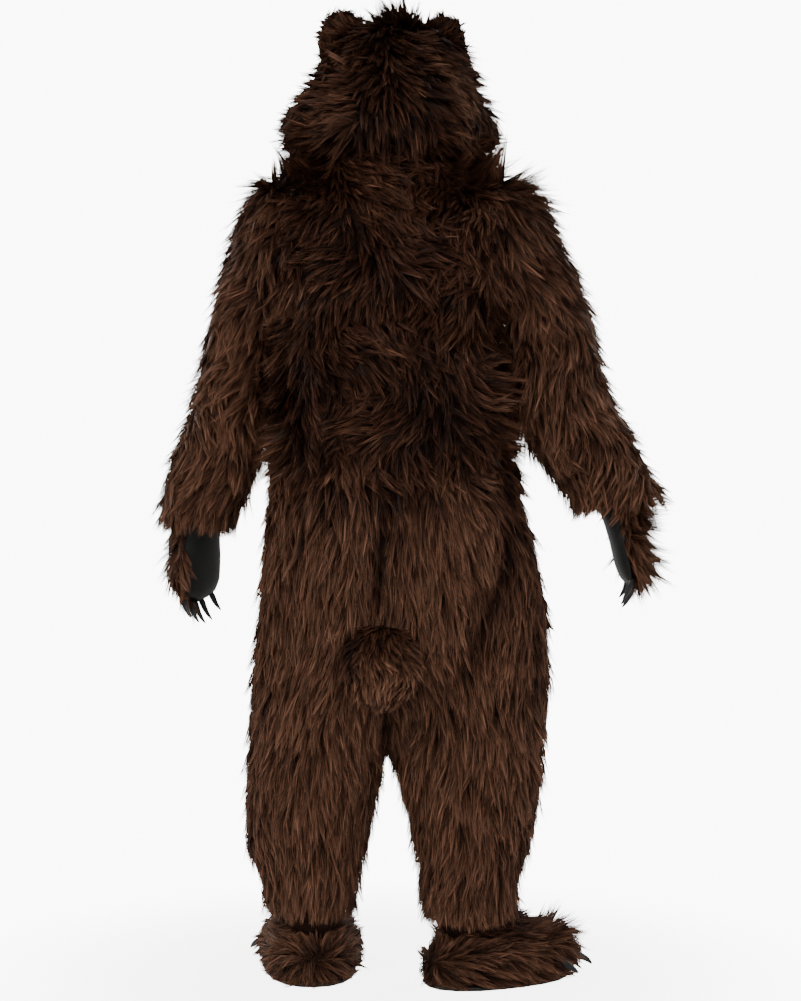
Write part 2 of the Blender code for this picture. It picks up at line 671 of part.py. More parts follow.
def hood_points(shares, across):
    """Hood points for shares from the face edge to the neck seam and places across from -1 to 1."""
    made = []
    for share in shares:
        known = min(share, HOOD[-1][0])
        row = [float(smooth(HOOD, k, known)) for k in range(1, 12)]
        end_angle = HOOD_END_FRONT + (HOOD_END_SIDE - HOOD_END_FRONT) * share**0.75
        end = neckline(end_angle) + np.array([0, 0, NECK_GAP])
        under_x = 0.52 * end[0] + 0.48 * row[8]
        under_y = 0.52 * end[1] + 0.48 * row[9]
        under_z = max(end[2], 0.018) + 0.013
        knots = np.array([
            (0.00, 0.0, row[0], row[1]),
            (0.25, row[2], row[3], row[4]),
            (0.50, row[5], row[6], row[7]),
            (0.76, row[8], row[9], row[10]),
            (0.90, under_x, under_y, under_z),
            (1.00, end[0], end[1], end[2]),
        ])
        mirrored = knots[:0:-1].copy()
        mirrored[:, 0] *= -1
        mirrored[:, 1] *= -1
        knots = np.concatenate([mirrored, knots])
        arch = spline(knots, across)
        if share > HOOD[-1][0]:
            blend = (share - HOOD[-1][0]) / (1 - HOOD[-1][0])
            seam = neckline(np.abs(across) * math.pi / 2) + np.array([0, 0, NECK_GAP])
            seam[:, 0] *= np.sign(across)
            under = math.sin(blend * math.pi / 2)
            drop = 1 - math.cos(blend * math.pi / 2)
            mixed = arch.copy()
            mixed[:, :2] += (seam[:, :2] - arch[:, :2]) * drop
            mixed[:, 2] += (seam[:, 2] - arch[:, 2]) * under
            arch = mixed
        made.append(arch)
    return hood_turned(np.array(made))


def spline(knots, at):
    """Points along a curve through knots, whose first column is the place."""
    places = knots[:, 0]
    values = knots[:, 1:]
    slopes = np.gradient(values, places, axis=0)
    at = np.clip(np.asarray(at, float), places[0], places[-1])
    low = np.clip(np.searchsorted(places, at, side="right") - 1, 0, len(places) - 2)
    width = (places[low + 1] - places[low])[:, None]
    s = ((at - places[low]) / (places[low + 1] - places[low]))[:, None]
    return (
        (2 * s**3 - 3 * s**2 + 1) * values[low]
        + (s**3 - 2 * s**2 + s) * width * slopes[low]
        + (3 * s**2 - 2 * s**3) * values[low + 1]
        + (s**3 - s**2) * width * slopes[low + 1]
    )


def hood_wall(shares, across):
    """The hood's thickness, less where the pile is caught in the neck seam."""
    back = np.clip((1 - np.asarray(shares)) / 0.16, 0, 1)[:, None]
    ends = np.clip((1 - np.abs(across)) / HOOD_TAPER, 0, 1)[None, :]
    full = np.minimum(back, ends)
    full = full**2 * (3 - 2 * full)
    return HOOD_SEAM_WALL + (HOOD_WALL - HOOD_SEAM_WALL) * full


def hood_pieces():
    shares = np.concatenate([np.linspace(0, 0.88, HOOD_ROWS - 4), np.linspace(0.88, 1, 5)[1:]])
    side_columns = (HOOD_COLUMNS - HOOD_STRIP_COLUMNS) // 2 + 1
    strip = np.linspace(-0.26, 0.26, HOOD_STRIP_COLUMNS + 1)
    left = np.linspace(-1, -0.26, side_columns)
    across = np.concatenate([left[:-1], strip, -left[::-1][1:]])
    outer = hood_points(shares, across)
    normals = -grid_normals(outer)
    inner = outer - hood_wall(shares, across)[..., None] * normals
    cuts = (
        ("hood_side_left", 0, side_columns, False, True),
        ("hood_centre", side_columns - 1, side_columns + HOOD_STRIP_COLUMNS, True, True),
        ("hood_side_right", side_columns + HOOD_STRIP_COLUMNS - 1, len(across), True, False),
    )
    made = []
    for label, start, stop, first, last in cuts:
        made.append(
            shell(
                label,
                draw_in(outer[:, start:stop], first, last),
                draw_in(inner[:, start:stop], first, last),
                DARK_FUR if label == "hood_centre" else FUR,
            )
        )
    return made


def trees_of(things):
    return [BVHTree.FromPolygons([v.co for v in t.data.vertices], triangles_of(t)) for t in things]


def triangles_of(thing):
    thing.data.calc_loop_triangles()
    return [list(t.vertices) for t in thing.data.loop_triangles]


def seated(point, direction, trees, clear):
    """Where a point lands when it is sent along a direction to the nearest of some surfaces."""
    direction = Vector(units(np.array(direction, float)))
    start = Vector(point)
    hits = [t.ray_cast(start, direction)[3] for t in trees]
    hits = [h for h in hits if h is not None]
    if not hits:
        return np.array(point)
    return np.array(start + direction * (min(hits) - clear))


def settled(points, faces, direction, trees, clear):
    """Moves a closed piece out along a direction until it is clear of some surfaces by a seam's gap."""
    step = np.array(direction, float) * 0.0002
    points = np.array(points, float)
    for _ in range(60):
        mine = BVHTree.FromPolygons([Vector(p) for p in points], faces)
        near = min(t.find_nearest(Vector(p))[3] for t in trees for p in points)
        if near >= clear and not any(mine.overlap(t) for t in trees):
            break
        points = points + step
    return points


def ear_pieces(hood):
    """Each ear stands on the hood as a cupped half round, with its foot made from the hood's points."""
    trees = trees_of(hood)
    made = []
    for side, label in ((-1, "ear_left"), (1, "ear_right")):
        share, low, high = EAR_PLACES[side]
        across = np.linspace(low, high, EAR_COLUMNS)
        if side < 0:
            across = -across[::-1]
        lift = units(np.array([side * 0.30, -0.05, 1.0]))
        front = hood_points([share - EAR_SPREAD], across)[0]
        back = hood_points([share + EAR_SPREAD], across)[0]
        front = np.array([seated(p + 0.08 * lift, -lift, trees, EAR_CLEAR) for p in front])
        back = np.array([seated(p + 0.08 * lift, -lift, trees, EAR_CLEAR) for p in back])
        place = np.linspace(-1, 1, EAR_COLUMNS)
        outline = np.sqrt(np.maximum(0, 1 - 0.86 * place**2))
        middle = (front + back) / 2
        grids = ([], [])
        for level in np.linspace(0, 1, EAR_ROWS):
            rise = lift * (EAR_HEIGHT * outline * math.sin(level * math.pi / 2))[:, None]
            squeeze = 1 - 0.45 * level**2
            cup = np.array([0, -0.010, 0]) * (level * (1 - place**2))[:, None]
            grids[0].append(middle + (back - middle) * squeeze + rise)
            grids[1].append(middle + (front - middle) * squeeze + rise + cup)
        ear = shell(label, np.array(grids[0]), np.array(grids[1]), DARK_FUR)
        points = settled([v.co for v in ear.data.vertices], triangles_of(ear), lift, trees, SEAT_CLEAR)
        for vertex, point in zip(ear.data.vertices, points):
            vertex.co = point
        made.append(ear)
    return made


def tail_piece(backs):
    """A stuffed stub that rests against the seat, flattened where it meets the two back panels."""
    trees = trees_of(backs)
    around = 16
    rings = 10
    points = []
    faces = []
    for k in range(1, rings):
        tilt = math.pi * k / rings
        for j in range(around):
            turn = 2 * math.pi * j / around
            x = TAIL_MIDDLE[0] + TAIL_HALF[0] * math.sin(tilt) * math.cos(turn)
            y = TAIL_MIDDLE[1] + TAIL_HALF[1] * math.sin(tilt) * math.sin(turn)
            z = TAIL_MIDDLE[2] + TAIL_HALF[2] * math.cos(tilt)
            y -= 0.020 * (1 - math.cos(tilt)) / 2
            z -= 0.006 * math.sin(tilt) * (1 - math.sin(turn))
            points.append([x, y, z])
    points.append([TAIL_MIDDLE[0], TAIL_MIDDLE[1], TAIL_MIDDLE[2] + TAIL_HALF[2]])
    points.append([TAIL_MIDDLE[0], TAIL_MIDDLE[1] - 0.020, TAIL_MIDDLE[2] - TAIL_HALF[2]])
    for p in points:
        hits = [t.ray_cast(Vector((p[0], -1.0, p[2])), Vector((0, 1, 0)))[0] for t in trees]
        seat = min(h.y for h in hits if h is not None)
        p[1] = min(p[1], seat - TAIL_CLEAR)
    count = (rings - 1) * around
    for k in range(rings - 2):
        for j in range(around):
            a = k * around + j
            b = k * around + (j + 1) % around
            faces.append((a, b, b + around, a + around))
    for j in range(around):
        faces.append((count, (j + 1) % around, j))
        base = (rings - 2) * around
        faces.append((count + 1, base + j, base + (j + 1) % around))
    return solid("tail", points, faces, DARK_FUR)


def glove_frame(side):
    wrist, down, palm = GLOVE_PLACES[side]
    down = units(np.array(down, float))
    palm = np.array(palm, float)
    palm = units(palm - down * palm.dot(down))
    return np.array(wrist), down, palm, np.cross(down, palm)


def glove_points(side, rows, angles):
    """Outer points of a mitten. Angle 0 to 180 runs over the fur side, 180 to 360 over the palm."""
    wrist, down, palm, wide = glove_frame(side)
    share = np.linspace(0, 1, rows)
    width = smooth(GLOVE_FORM, 1, share)[:, None]
    fur = smooth(GLOVE_FORM, 2, share)[:, None]
    flat = smooth(GLOVE_FORM, 3, share)[:, None]
    angles = np.asarray(angles)[None, :]
    reach = roundness(angles, 2.3)
    along = GLOVE_LENGTH[side] * (share[:, None] - 0.05 * np.abs(np.cos(angles)) * share[:, None] ** 6)
    sideways = width * np.cos(angles) * reach
    thick = np.where(np.sin(angles) > 0, fur, flat) * np.sin(angles) * reach
    return (
        wrist
        + along[..., None] * down
        + sideways[..., None] * wide
        - thick[..., None] * palm
    )


def claw_piece(name, base, start, curl, length, radius, trees):
    """A curved claw, moved back along its direction until its foot rests on a surface."""
    start = units(np.array(start, float))
    curl = np.array(curl, float)
    curl = units(curl - start * curl.dot(start))
    side = np.cross(start, curl)
    foot = [base]
    for j in range(48):
        turn = 2 * math.pi * j / 12
        reach = radius * (j // 12 + 1) / 4
        foot.append(base + reach * (0.8 * math.cos(turn) * side - 1.1 * math.sin(turn) * curl))
    drops = [np.linalg.norm(seated(p, -start, trees, SEAT_CLEAR) - p) for p in foot]
    base = base - start * min(d for d in drops if d > 1e-6)
    points = []
    faces = []
    for k in range(CLAW_RINGS):
        share = k / CLAW_RINGS
        bend = 0.75 * share
        centre = base + length * (start * math.sin(bend) / 0.75 + curl * (1 - math.cos(bend)) / 0.75)
        ahead = start * math.cos(bend) + curl * math.sin(bend)
        across = np.cross(side, ahead)
        size = radius * (1 - share**1.6) + 0.0006
        for j in range(CLAW_SIDES):
            turn = 2 * math.pi * j / CLAW_SIDES
            points.append(centre + size * (0.8 * math.cos(turn) * side + 1.1 * math.sin(turn) * across))
    tip = base + length * (start * math.sin(0.75) / 0.75 + curl * (1 - math.cos(0.75)) / 0.75)
    points.append(tip)
    for k in range(CLAW_RINGS - 1):
        for j in range(CLAW_SIDES):
            a = k * CLAW_SIDES + j
            b = k * CLAW_SIDES + (j + 1) % CLAW_SIDES
            faces.append((a, b, b + CLAW_SIDES, a + CLAW_SIDES))
    last = (CLAW_RINGS - 1) * CLAW_SIDES
    for j in range(CLAW_SIDES):
        faces.append((last + j, last + (j + 1) % CLAW_SIDES, len(points) - 1))
    faces.append(tuple(range(CLAW_SIDES)))
    points = settled(points, faces, start, trees, SEAT_CLEAR)
    return solid(name, points, faces, CLAW)


def glove_pieces():
    made = []
    angles = np.concatenate([
        np.linspace(0, math.pi, GLOVE_FUR_COLUMNS),
        np.linspace(math.pi, 2 * math.pi, GLOVE_PALM_COLUMNS)[1:],
    ])
    share = np.linspace(0, 1, GLOVE_ROWS)
    fur_wall = smooth(GLOVE_WALLS, 1, share)[:, None, None]
    for side, label in ((-1, "left"), (1, "right")):
        outer = glove_points(side, GLOVE_ROWS, angles)
        normals = grid_normals(outer)
        both = units(normals[:, 0] + normals[:, -1])
        normals[:, 0] = both
        normals[:, -1] = both
        if (normals[2] * (outer[2] - outer[2].mean(axis=0))).sum() < 0:
            normals = -normals
        cut = GLOVE_FUR_COLUMNS
        wrist, down, palm, wide = glove_frame(side)
        for column in (0, cut - 1, -1):
            normals[:, column] -= palm * normals[:, column].dot(palm)[:, None]
            normals[:, column] = units(normals[:, column])
        fur_side = outer[:, :cut] - fur_wall * normals[:, :cut]
        palm_side = outer[:, cut - 1 :] - PALM_WALL * normals[:, cut - 1 :]
        for grid, sense in ((fur_side, 1.0), (palm_side, -1.0)):
            off = -(grid[:, 1:-1] - wrist).dot(palm) * sense
            grid[:, 1:-1] -= palm * (sense * np.maximum(0, GLOVE_CLEAR - off))[..., None]
        pieces = (
            ("glove_fur", outer[:, :cut], fur_side, FUR),
            ("glove_palm", outer[:, cut - 1 :], palm_side, PALM),
        )
        gloves = []
        for kind, face, back, look in pieces:
            name = "%s_%s" % (kind, label)
            gloves.append(shell(name, draw_in(face, True, True), draw_in(back, True, True), look))
        made += gloves
        trees = trees_of(gloves)
        for k, (place, far, length) in enumerate(HAND_CLAWS):
            half = float(smooth(GLOVE_FORM, 1, far * 0.97))
            spot = outer[0].mean(axis=0) + down * GLOVE_LENGTH[side] * far + wide * place * half * 0.9
            start = units(down + 0.25 * palm + wide * place * 0.25)
            spot = spot + 0.05 * start
            name = "hand_claw_%s_%d" % (label, k + 1)
            made.append(claw_piece(name, spot, start, palm, length, CLAW_RADIUS, trees))
    return made


def shoe_points(side, heights, angles):
    """Outer points of a shoe cover: rows from the sole up, angles round from the toes."""
    ankle_x, ankle_y, turn = SHOE_PLACES[side]
    turn = math.radians(turn) * side
    ahead = np.array([math.sin(turn), math.cos(turn), 0.0])
    across = np.array([math.cos(turn), -math.sin(turn), 0.0])
    heights = np.asarray(heights, float)
    heel = smooth(SHOE_FORM, 1, heights)[:, None]
    toe = smooth(SHOE_FORM, 2, heights)[:, None]
    wide = smooth(SHOE_FORM, 3, heights)[:, None]
    angles = np.asarray(angles)[None, :]
    reach = roundness(angles, 2.35)
    ease = ANKLE_EASE[side] * np.clip((heights - 0.098) / 0.022, 0, 1)[:, None]
    heel = heel - ease
    toe = toe + ease
    wide = wide + ease
    low = np.clip((0.115 - heights) / 0.04, 0, 1)[:, None]
    round_toes = (np.degrees(angles) + 180) % 360 - 180
    trough = sum(np.exp(-(((round_toes - g) / 6.0) ** 2)) for g in TOE_TROUGHS)
    reach = reach * (1 - TOE_TROUGH_DEPTH * trough * low)
    forward = (heel + toe) / 2 + (toe - heel) / 2 * np.cos(angles) * reach
    sideways = wide * np.sin(angles) * reach * (1 + 0.10 * np.cos(angles) * low)
    points = forward[..., None] * ahead + sideways[..., None] * across
    points += np.array([ankle_x, ankle_y, FLOOR])
    points[..., 2] += heights[:, None]
    return points


def shoe_pieces():
    made = []
    half = math.pi * np.linspace(0, 1, SHOE_COLUMNS) ** 1.35
    angles = np.concatenate([half, 2 * math.pi - half[::-1][1:]])
    heights = np.array([row[0] for row in SHOE_FORM])
    for side, label in ((-1, "left"), (1, "right")):
        outer = shoe_points(side, heights, angles)
        normals = grid_normals(outer)
        both = units(normals[:, 0] + normals[:, -1])
        normals[:, 0] = both
        normals[:, -1] = both
        if (normals[2] * (outer[2] - outer[2].mean(axis=0))).sum() < 0:
            normals = -normals
        normals[0, :, 2] = 0
        normals[0] = units(normals[0])
        walls = smooth(SHOE_WALLS, 1, heights)[:, None, None]
        inner = outer - walls * normals
        cut = SHOE_COLUMNS
        covers = []
        kinds = ("outer", "inner") if side > 0 else ("inner", "outer")
        for kind, part in zip(kinds, (slice(0, cut), slice(cut - 1, None))):
            name = "shoe_%s_%s" % (kind, label)
            face = draw_in(outer[:, part], True, True)
            back = draw_in(inner[:, part], True, True)
            covers.append(shell(name, face, back, FUR))
        made += covers
        made.append(sole_piece("shoe_sole_" + label, outer[0][:-1]))
        trees = trees_of(covers)
        ankle_x, ankle_y, turn = SHOE_PLACES[side]
        for k, degrees in enumerate(FOOT_CLAWS):
            angle = math.radians(degrees)
            spot = shoe_points(side, [FOOT_CLAW_HEIGHT], [angle])[0, 0]
            heading = math.radians(turn) * side + angle * 0.72
            start = units(np.array([math.sin(heading), math.cos(heading), -0.25]))
            spot = spot + 0.05 * start
            name = "foot_claw_%s_%d" % (label, k + 1)
            made.append(claw_piece(name, spot, start, (0, 0, -1), FOOT_CLAW_LENGTH, CLAW_RADIUS, trees))
    return made


def sole_piece(name, rim):
    """A flat sole under the lower edge of a shoe cover."""
    top = rim.copy()
    top[:, 2] = FLOOR + SOLE_WALL
    low = rim.copy()
    low[:, 2] = FLOOR
    count = len(rim)
    points = np.concatenate([top, low])
    faces = [tuple(range(count)), tuple(range(2 * count - 1, count - 1, -1))]
    for j in range(count):
        k = (j + 1) % count
        faces.append((j, k, count + k, count + j))
    return solid(name, points, faces, SOLE)


clear_scene()
body = body_pieces()
sleeve_pieces()
ear_pieces(hood_pieces())
tail_piece([b for b in body if "back" in b.name])
glove_pieces()
shoe_pieces()
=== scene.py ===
"""Looks of the bear costume: cloth shells on the solids' forms, long fur strands, claws, floor and light."""

import json
import math

import bpy
import numpy as np
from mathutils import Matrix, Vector
from mathutils.bvhtree import BVHTree

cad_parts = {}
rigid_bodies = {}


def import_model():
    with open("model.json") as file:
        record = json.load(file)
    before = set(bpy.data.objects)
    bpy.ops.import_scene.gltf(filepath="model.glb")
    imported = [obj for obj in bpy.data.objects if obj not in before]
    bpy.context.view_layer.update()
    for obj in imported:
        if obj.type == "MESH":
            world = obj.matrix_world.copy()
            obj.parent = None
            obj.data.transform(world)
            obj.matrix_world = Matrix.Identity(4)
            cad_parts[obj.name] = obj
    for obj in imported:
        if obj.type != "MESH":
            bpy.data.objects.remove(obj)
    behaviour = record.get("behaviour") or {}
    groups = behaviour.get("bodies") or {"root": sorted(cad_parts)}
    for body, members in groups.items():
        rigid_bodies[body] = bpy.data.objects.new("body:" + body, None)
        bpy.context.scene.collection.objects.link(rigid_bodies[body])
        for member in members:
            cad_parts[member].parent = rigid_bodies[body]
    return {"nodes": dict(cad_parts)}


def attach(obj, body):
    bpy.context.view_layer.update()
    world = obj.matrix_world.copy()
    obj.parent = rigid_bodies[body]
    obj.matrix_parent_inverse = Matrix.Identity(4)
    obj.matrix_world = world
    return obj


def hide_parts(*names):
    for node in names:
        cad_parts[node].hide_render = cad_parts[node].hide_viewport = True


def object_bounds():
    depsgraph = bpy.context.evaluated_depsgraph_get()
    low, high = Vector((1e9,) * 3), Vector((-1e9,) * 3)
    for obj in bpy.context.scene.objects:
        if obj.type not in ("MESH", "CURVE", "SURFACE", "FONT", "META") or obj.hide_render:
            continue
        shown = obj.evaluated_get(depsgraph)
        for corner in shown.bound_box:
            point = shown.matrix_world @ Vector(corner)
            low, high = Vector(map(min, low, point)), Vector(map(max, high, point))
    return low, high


# Driving sizes
FLOOR = -1.488
BODY_WALL = 0.018
HEM_LIFT = 0.024
SLEEVE_WALL = 0.016
HOOD_WALL = 0.017
HOOD_SEAM_WALL = 0.004
HOOD_TAPER = 0.60
PALM_WALL = 0.0025

CROTCH = -1.092
SEAT = -0.860
ARMPIT = -0.290
ARMHOLE_X = {-1: 0.2065, 1: 0.2105}
ARMHOLE_TOP = -0.004
ARMHOLE_BOTTOM = -0.288
ARMHOLE_DEPTH = 0.105
NECK_HALF_WIDTH = 0.115
NECK_BACK = 0.095
NECK_FRONT = 0.105
NECK_HEIGHT = 0.034
NECK_FRONT_DROP = 0.049
NAPE_RISE = 0.003
NECK_GAP = 0.0010

# Legs, in millimetres. height, left inner, left outer, right inner, right outer, left y, right y, half depth
LEGS = np.array((
    (-1375, 66, 216, 80, 240, -30, -75, 80),
    (-1340, 54, 229, 60, 238, -28, -70, 88),
    (-1310, 52, 235, 52, 240, -26, -64, 96),
    (-1253, 37, 259, 50, 258, -22, -50, 112),
    (-1197, 27, 267, 37, 273, -16, -34, 126),
    (-1141, 14, 266, 24, 285, -8, -14, 139),
    (-1092, 0, 261, 0, 291, 0, 0, 150),
    (-860, 0, 246, 0, 299, 0, 0, 160),
)) / 1000

# Trunk, in millimetres. height, left half width, right half width, depth behind, depth in front
TRUNK = np.array((
    (-1092, 261, 291, 152, 150),
    (-1000, 260, 303, 168, 160),
    (-944, 255, 304, 175, 168),
    (-888, 248, 301, 175, 176),
    (-832, 244, 296, 170, 183),
    (-776, 239, 290, 164, 188),
    (-720, 235, 280, 160, 190),
    (-664, 231, 267, 157, 190),
    (-608, 226, 252, 156, 187),
    (-552, 221, 239, 157, 183),
    (-490, 216, 227, 160, 178),
    (-420, 212, 219, 163, 173),
    (-350, 209, 214, 165, 169),
    (-290, 206.5, 210.5, 165, 165),
)) / 1000

# Middle of the back and front above the armpit. share of the way up, back y, back z, front y, front z
UPPER = (
    (0.00, -0.165, -0.290, 0.165, -0.290),
    (0.20, -0.166, -0.232, 0.165, -0.245),
    (0.40, -0.164, -0.170, 0.161, -0.198),
    (0.60, -0.156, -0.108, 0.152, -0.150),
    (0.80, -0.138, -0.048, 0.136, -0.095),
    (0.90, -0.120, -0.008, 0.122, -0.052),
    (1.00, -0.095, 0.037, 0.105, -0.015),
)
ARMHOLE_SHARE = 0.70

# Sleeves, ring by ring, in millimetres. outer x, outer z, inner x, inner z, middle y, half depth
SLEEVE_LEFT = np.array((
    (206.9, -4, 206.9, -288, 0, 105),
    (232, -14, 209, -294, 0, 104),
    (257, -38, 211, -300, 0, 102),
    (277, -80, 213, -307, 1, 99),
    (292, -130, 214.5, -316, 2, 96),
    (306, -180, 216, -328, 3, 94),
    (319, -228, 217.5, -345, 4, 92),
    (331, -275, 219, -366, 6, 90),
    (341, -320, 220.5, -390, 8, 88),
    (351, -362, 222.5, -418, 10, 87),
    (362, -402, 226, -448, 14, 87),
    (375, -445, 232, -482, 20, 86),
    (392, -490, 241.5, -522, 28, 84),
    (410, -535, 253.5, -565, 36, 82),
    (425, -583, 270, -612, 44, 79),
    (430, -640, 299, -664, 52, 73),
)) / 1000
SLEEVE_RIGHT = np.array((
    (210.9, -4, 210.9, -288, 0, 105),
    (240, -12, 213.5, -294, 0, 104),
    (272, -35, 216, -300, 0, 102),
    (297, -75, 218.5, -307, 1, 99),
    (320, -125, 220.5, -316, 2, 97),
    (345, -172, 222.5, -328, 3, 96),
    (364, -222, 225, -345, 4, 95),
    (380, -270, 227.5, -366, 6, 94),
    (391, -315, 231, -390, 8, 93),
    (400, -358, 235.5, -418, 10, 92),
    (413, -400, 242, -448, 14, 91),
    (433, -442, 254, -480, 20, 90),
    (455, -480, 271, -512, 26, 88),
    (474, -518, 296, -548, 32, 86),
    (496, -553, 327, -588, 38, 83),
    (512, -587, 359, -628, 44, 77),
)) / 1000
SLEEVES = {-1: SLEEVE_LEFT, 1: SLEEVE_RIGHT}

# Hood arches, front edge to neck seam. share, top y, z, then x, y, z of the high, middle and low points
HOOD = (
    (0.00, 0.112, 0.246, 0.072, 0.114, 0.208, 0.104, 0.110, 0.130, 0.094, 0.106, 0.050),
    (0.22, 0.045, 0.283, 0.106, 0.048, 0.246, 0.138, 0.045, 0.165, 0.160, 0.052, 0.068),
    (0.46, -0.060, 0.275, 0.108, -0.045, 0.240, 0.150, -0.030, 0.165, 0.193, -0.018, 0.074),
    (0.72, -0.140, 0.172, 0.080, -0.128, 0.160, 0.136, -0.098, 0.120, 0.178, -0.060, 0.070),
    (0.88, -0.166, 0.092, 0.078, -0.152, 0.086, 0.130, -0.116, 0.074, 0.158, -0.066, 0.057),
)
HOOD_END_FRONT = math.radians(155)
HOOD_END_SIDE = math.radians(90)
HOOD_TURN = math.radians(12)
HOOD_LEAN = 0.016

# Soft folds, in millimetres. face, start x, start z, end x, end z, half width, depth (below 0 for a ridge)
FOLDS = (
    (-1, 170, -420, 196, -640, 26, 12),
    (-1, 196, -640, 188, -800, 28, 17),
    (-1, 188, -800, 120, -1000, 30, 16),
    (-1, 238, -700, 250, -900, 30, -8),
    (-1, 270, -920, 262, -1060, 24, 10),
    (-1, 0, -590, -12, -800, 26, 9),
    (-1, -1, -960, -3, -1090, 34, 12),
    (-1, -130, -340, -120, -530, 26, 7),
    (-1, -176, -360, -168, -600, 24, 9),
    (-1, 75, -180, 100, -420, 30, 6),
    (-1, -70, -120, -80, -330, 30, 6),
    (-1, -215, -800, -120, -960, 34, 8),
    (-1, -235, -930, -150, -1080, 34, 9),
    (-1, -205, -1080, -215, -1220, 28, 8),
    (-1, -85, -1110, -120, -1260, 30, 7),
    (-1, 90, -1040, 190, -1140, 30, 9),
    (-1, 110, -1170, 235, -1215, 26, 11),
    (-1, 75, -1245, 200, -1262, 24, 10),
    (-1, 100, -1315, 215, -1300, 22, 7),
    (-1, -230, -1295, -110, -1320, 24, 7),
    (1, -160, -430, -185, -700, 34, 11),
    (1, 150, -400, 180, -640, 34, 10),
    (1, -60, -260, -75, -520, 36, 6),
    (1, 70, -300, 60, -560, 36, 6),
    (1, -200, -760, -80, -960, 38, 10),
    (1, 225, -780, 100, -990, 38, 11),
    (1, 0, -900, 2, -1080, 36, 9),
    (1, -190, -1040, -90, -1130, 34, 8),
    (1, 90, -1050, 210, -1130, 34, 9),
    (1, -215, -1230, -80, -1250, 28, 8),
    (1, 80, -1225, 225, -1250, 28, 9),
    (1, -180, -1315, -80, -1300, 24, 6),
)

# Sleeve creases. side, share down, angle round in degrees, share's half width, angle's half width, depth
SLEEVE_CREASES = (
    (-1, 0.58, 200, 0.030, 75, 0.010),
    (-1, 0.66, 160, 0.028, 60, 0.009),
    (-1, 0.75, 250, 0.030, 70, 0.007),
    (-1, 0.47, 230, 0.032, 60, 0.007),
    (-1, 0.30, 300, 0.035, 55, 0.006),
    (-1, 0.86, 120, 0.028, 70, 0.006),
    (1, 0.54, 260, 0.030, 65, 0.010),
    (1, 0.62, 200, 0.028, 75, 0.012),
    (1, 0.70, 150, 0.028, 65, 0.010),
    (1, 0.78, 230, 0.028, 70, 0.008),
    (1, 0.42, 290, 0.032, 55, 0.007),
    (1, 0.28, 240, 0.035, 50, 0.006),
    (1, 0.88, 120, 0.028, 70, 0.006),
)

# Gloves: wrist middle, hand direction, palm direction, then sizes down the hand
GLOVE_PLACES = {
    -1: ((-0.3603, 0.048, -0.624), (-0.02, 0.06, -1.0), (0.83, -0.56, 0.0)),
    1: ((0.429, 0.0335, -0.592), (0.17, 0.06, -1.0), (-0.99, 0.02, 0.0)),
}
# share down the hand, half width, half thickness on the fur side, half thickness on the palm side
GLOVE_FORM = (
    (0.00, 0.052, 0.046, 0.042),
    (0.18, 0.050, 0.042, 0.036),
    (0.36, 0.054, 0.040, 0.030),
    (0.56, 0.060, 0.041, 0.026),
    (0.74, 0.060, 0.038, 0.024),
    (0.90, 0.051, 0.029, 0.018),
    (0.97, 0.043, 0.017, 0.010),
    (1.00, 0.036, 0.0075, 0.0036),
)
GLOVE_CLEAR = 0.0008
# share down the hand, thickness of the fur cloth
GLOVE_WALLS = ((0.0, 0.007), (0.2, 0.009), (0.4, 0.012), (0.8, 0.012), (1.0, 0.0068))
GLOVE_LENGTH = {-1: 0.178, 1: 0.180}

# Shoe covers: ankle middle and the way the toes point, as degrees outwards from straight ahead
SHOE_PLACES = {-1: (-0.141, -0.030, 6.0), 1: (0.160, -0.075, 60.0)}
# in millimetres, from the ankle's middle: height over the floor, back of the heel, tip of the toe, half width
SHOE_FORM = np.array((
    (4.5, -98, 190, 86),
    (22, -108, 205, 95),
    (45, -106, 210, 97),
    (68, -88, 200, 90),
    (79, -66, 186, 82),
    (88, -56, 165, 72),
    (98, -54, 132, 62),
    (108, -53, 98, 53.5),
    (120, -52, 68, 52.5),
    (135, -52, 55, 52),
    (156, -51, 52, 51),
)) / 1000
ANKLE_EASE = {-1: 0.0035, 1: 0.0018}
# height over the floor, thickness of the fur cloth
SHOE_WALLS = ((0.0045, 0.014), (0.080, 0.014), (0.110, 0.010), (0.156, 0.007))
TOE_TROUGHS = (-46, -15, 15, 46)
TOE_TROUGH_DEPTH = 0.040


def hermite(at, places, values, slopes):
    """Values at places along a cubic curve, from the values and slopes at its knots."""
    at = np.clip(np.asarray(at, float), places[0], places[-1])
    low = np.clip(np.searchsorted(places, at, side="right") - 1, 0, len(places) - 2)
    width = places[low + 1] - places[low]
    s = (at - places[low]) / width
    if values.ndim > 1:
        s, width = s[:, None], width[:, None]
    return (
        (2 * s**3 - 3 * s**2 + 1) * values[low]
        + (s**3 - 2 * s**2 + s) * width * slopes[low]
        + (3 * s**2 - 2 * s**3) * values[low + 1]
        + (s**3 - s**2) * width * slopes[low + 1]
    )


def smooth(rows, column, at):
    """A column's value at places down the first column, along a cubic that follows the rows."""
    rows = np.asarray(rows, float)
    places, values = rows[:, 0], rows[:, column]
    steps = np.diff(values) / np.diff(places)
    product = steps[1:] * steps[:-1]
    both = steps[1:] + steps[:-1]
    both = np.where(np.abs(both) < 1e-12, 1.0, both)
    inner = np.where(product > 0, 2 * steps[1:] * steps[:-1] / both, 0.0)
    return hermite(at, places, values, np.concatenate([steps[:1], inner, steps[-1:]]))


def spline(knots, at):
    """Points along a curve through knots, whose first column is the place."""
    places, values = knots[:, 0], knots[:, 1:]
    return hermite(at, places, values, np.gradient(values, places, axis=0))


def soft_step(value, low, high):
    s = np.clip((value - low) / (high - low), 0, 1)
    return s * s * (3 - 2 * s)


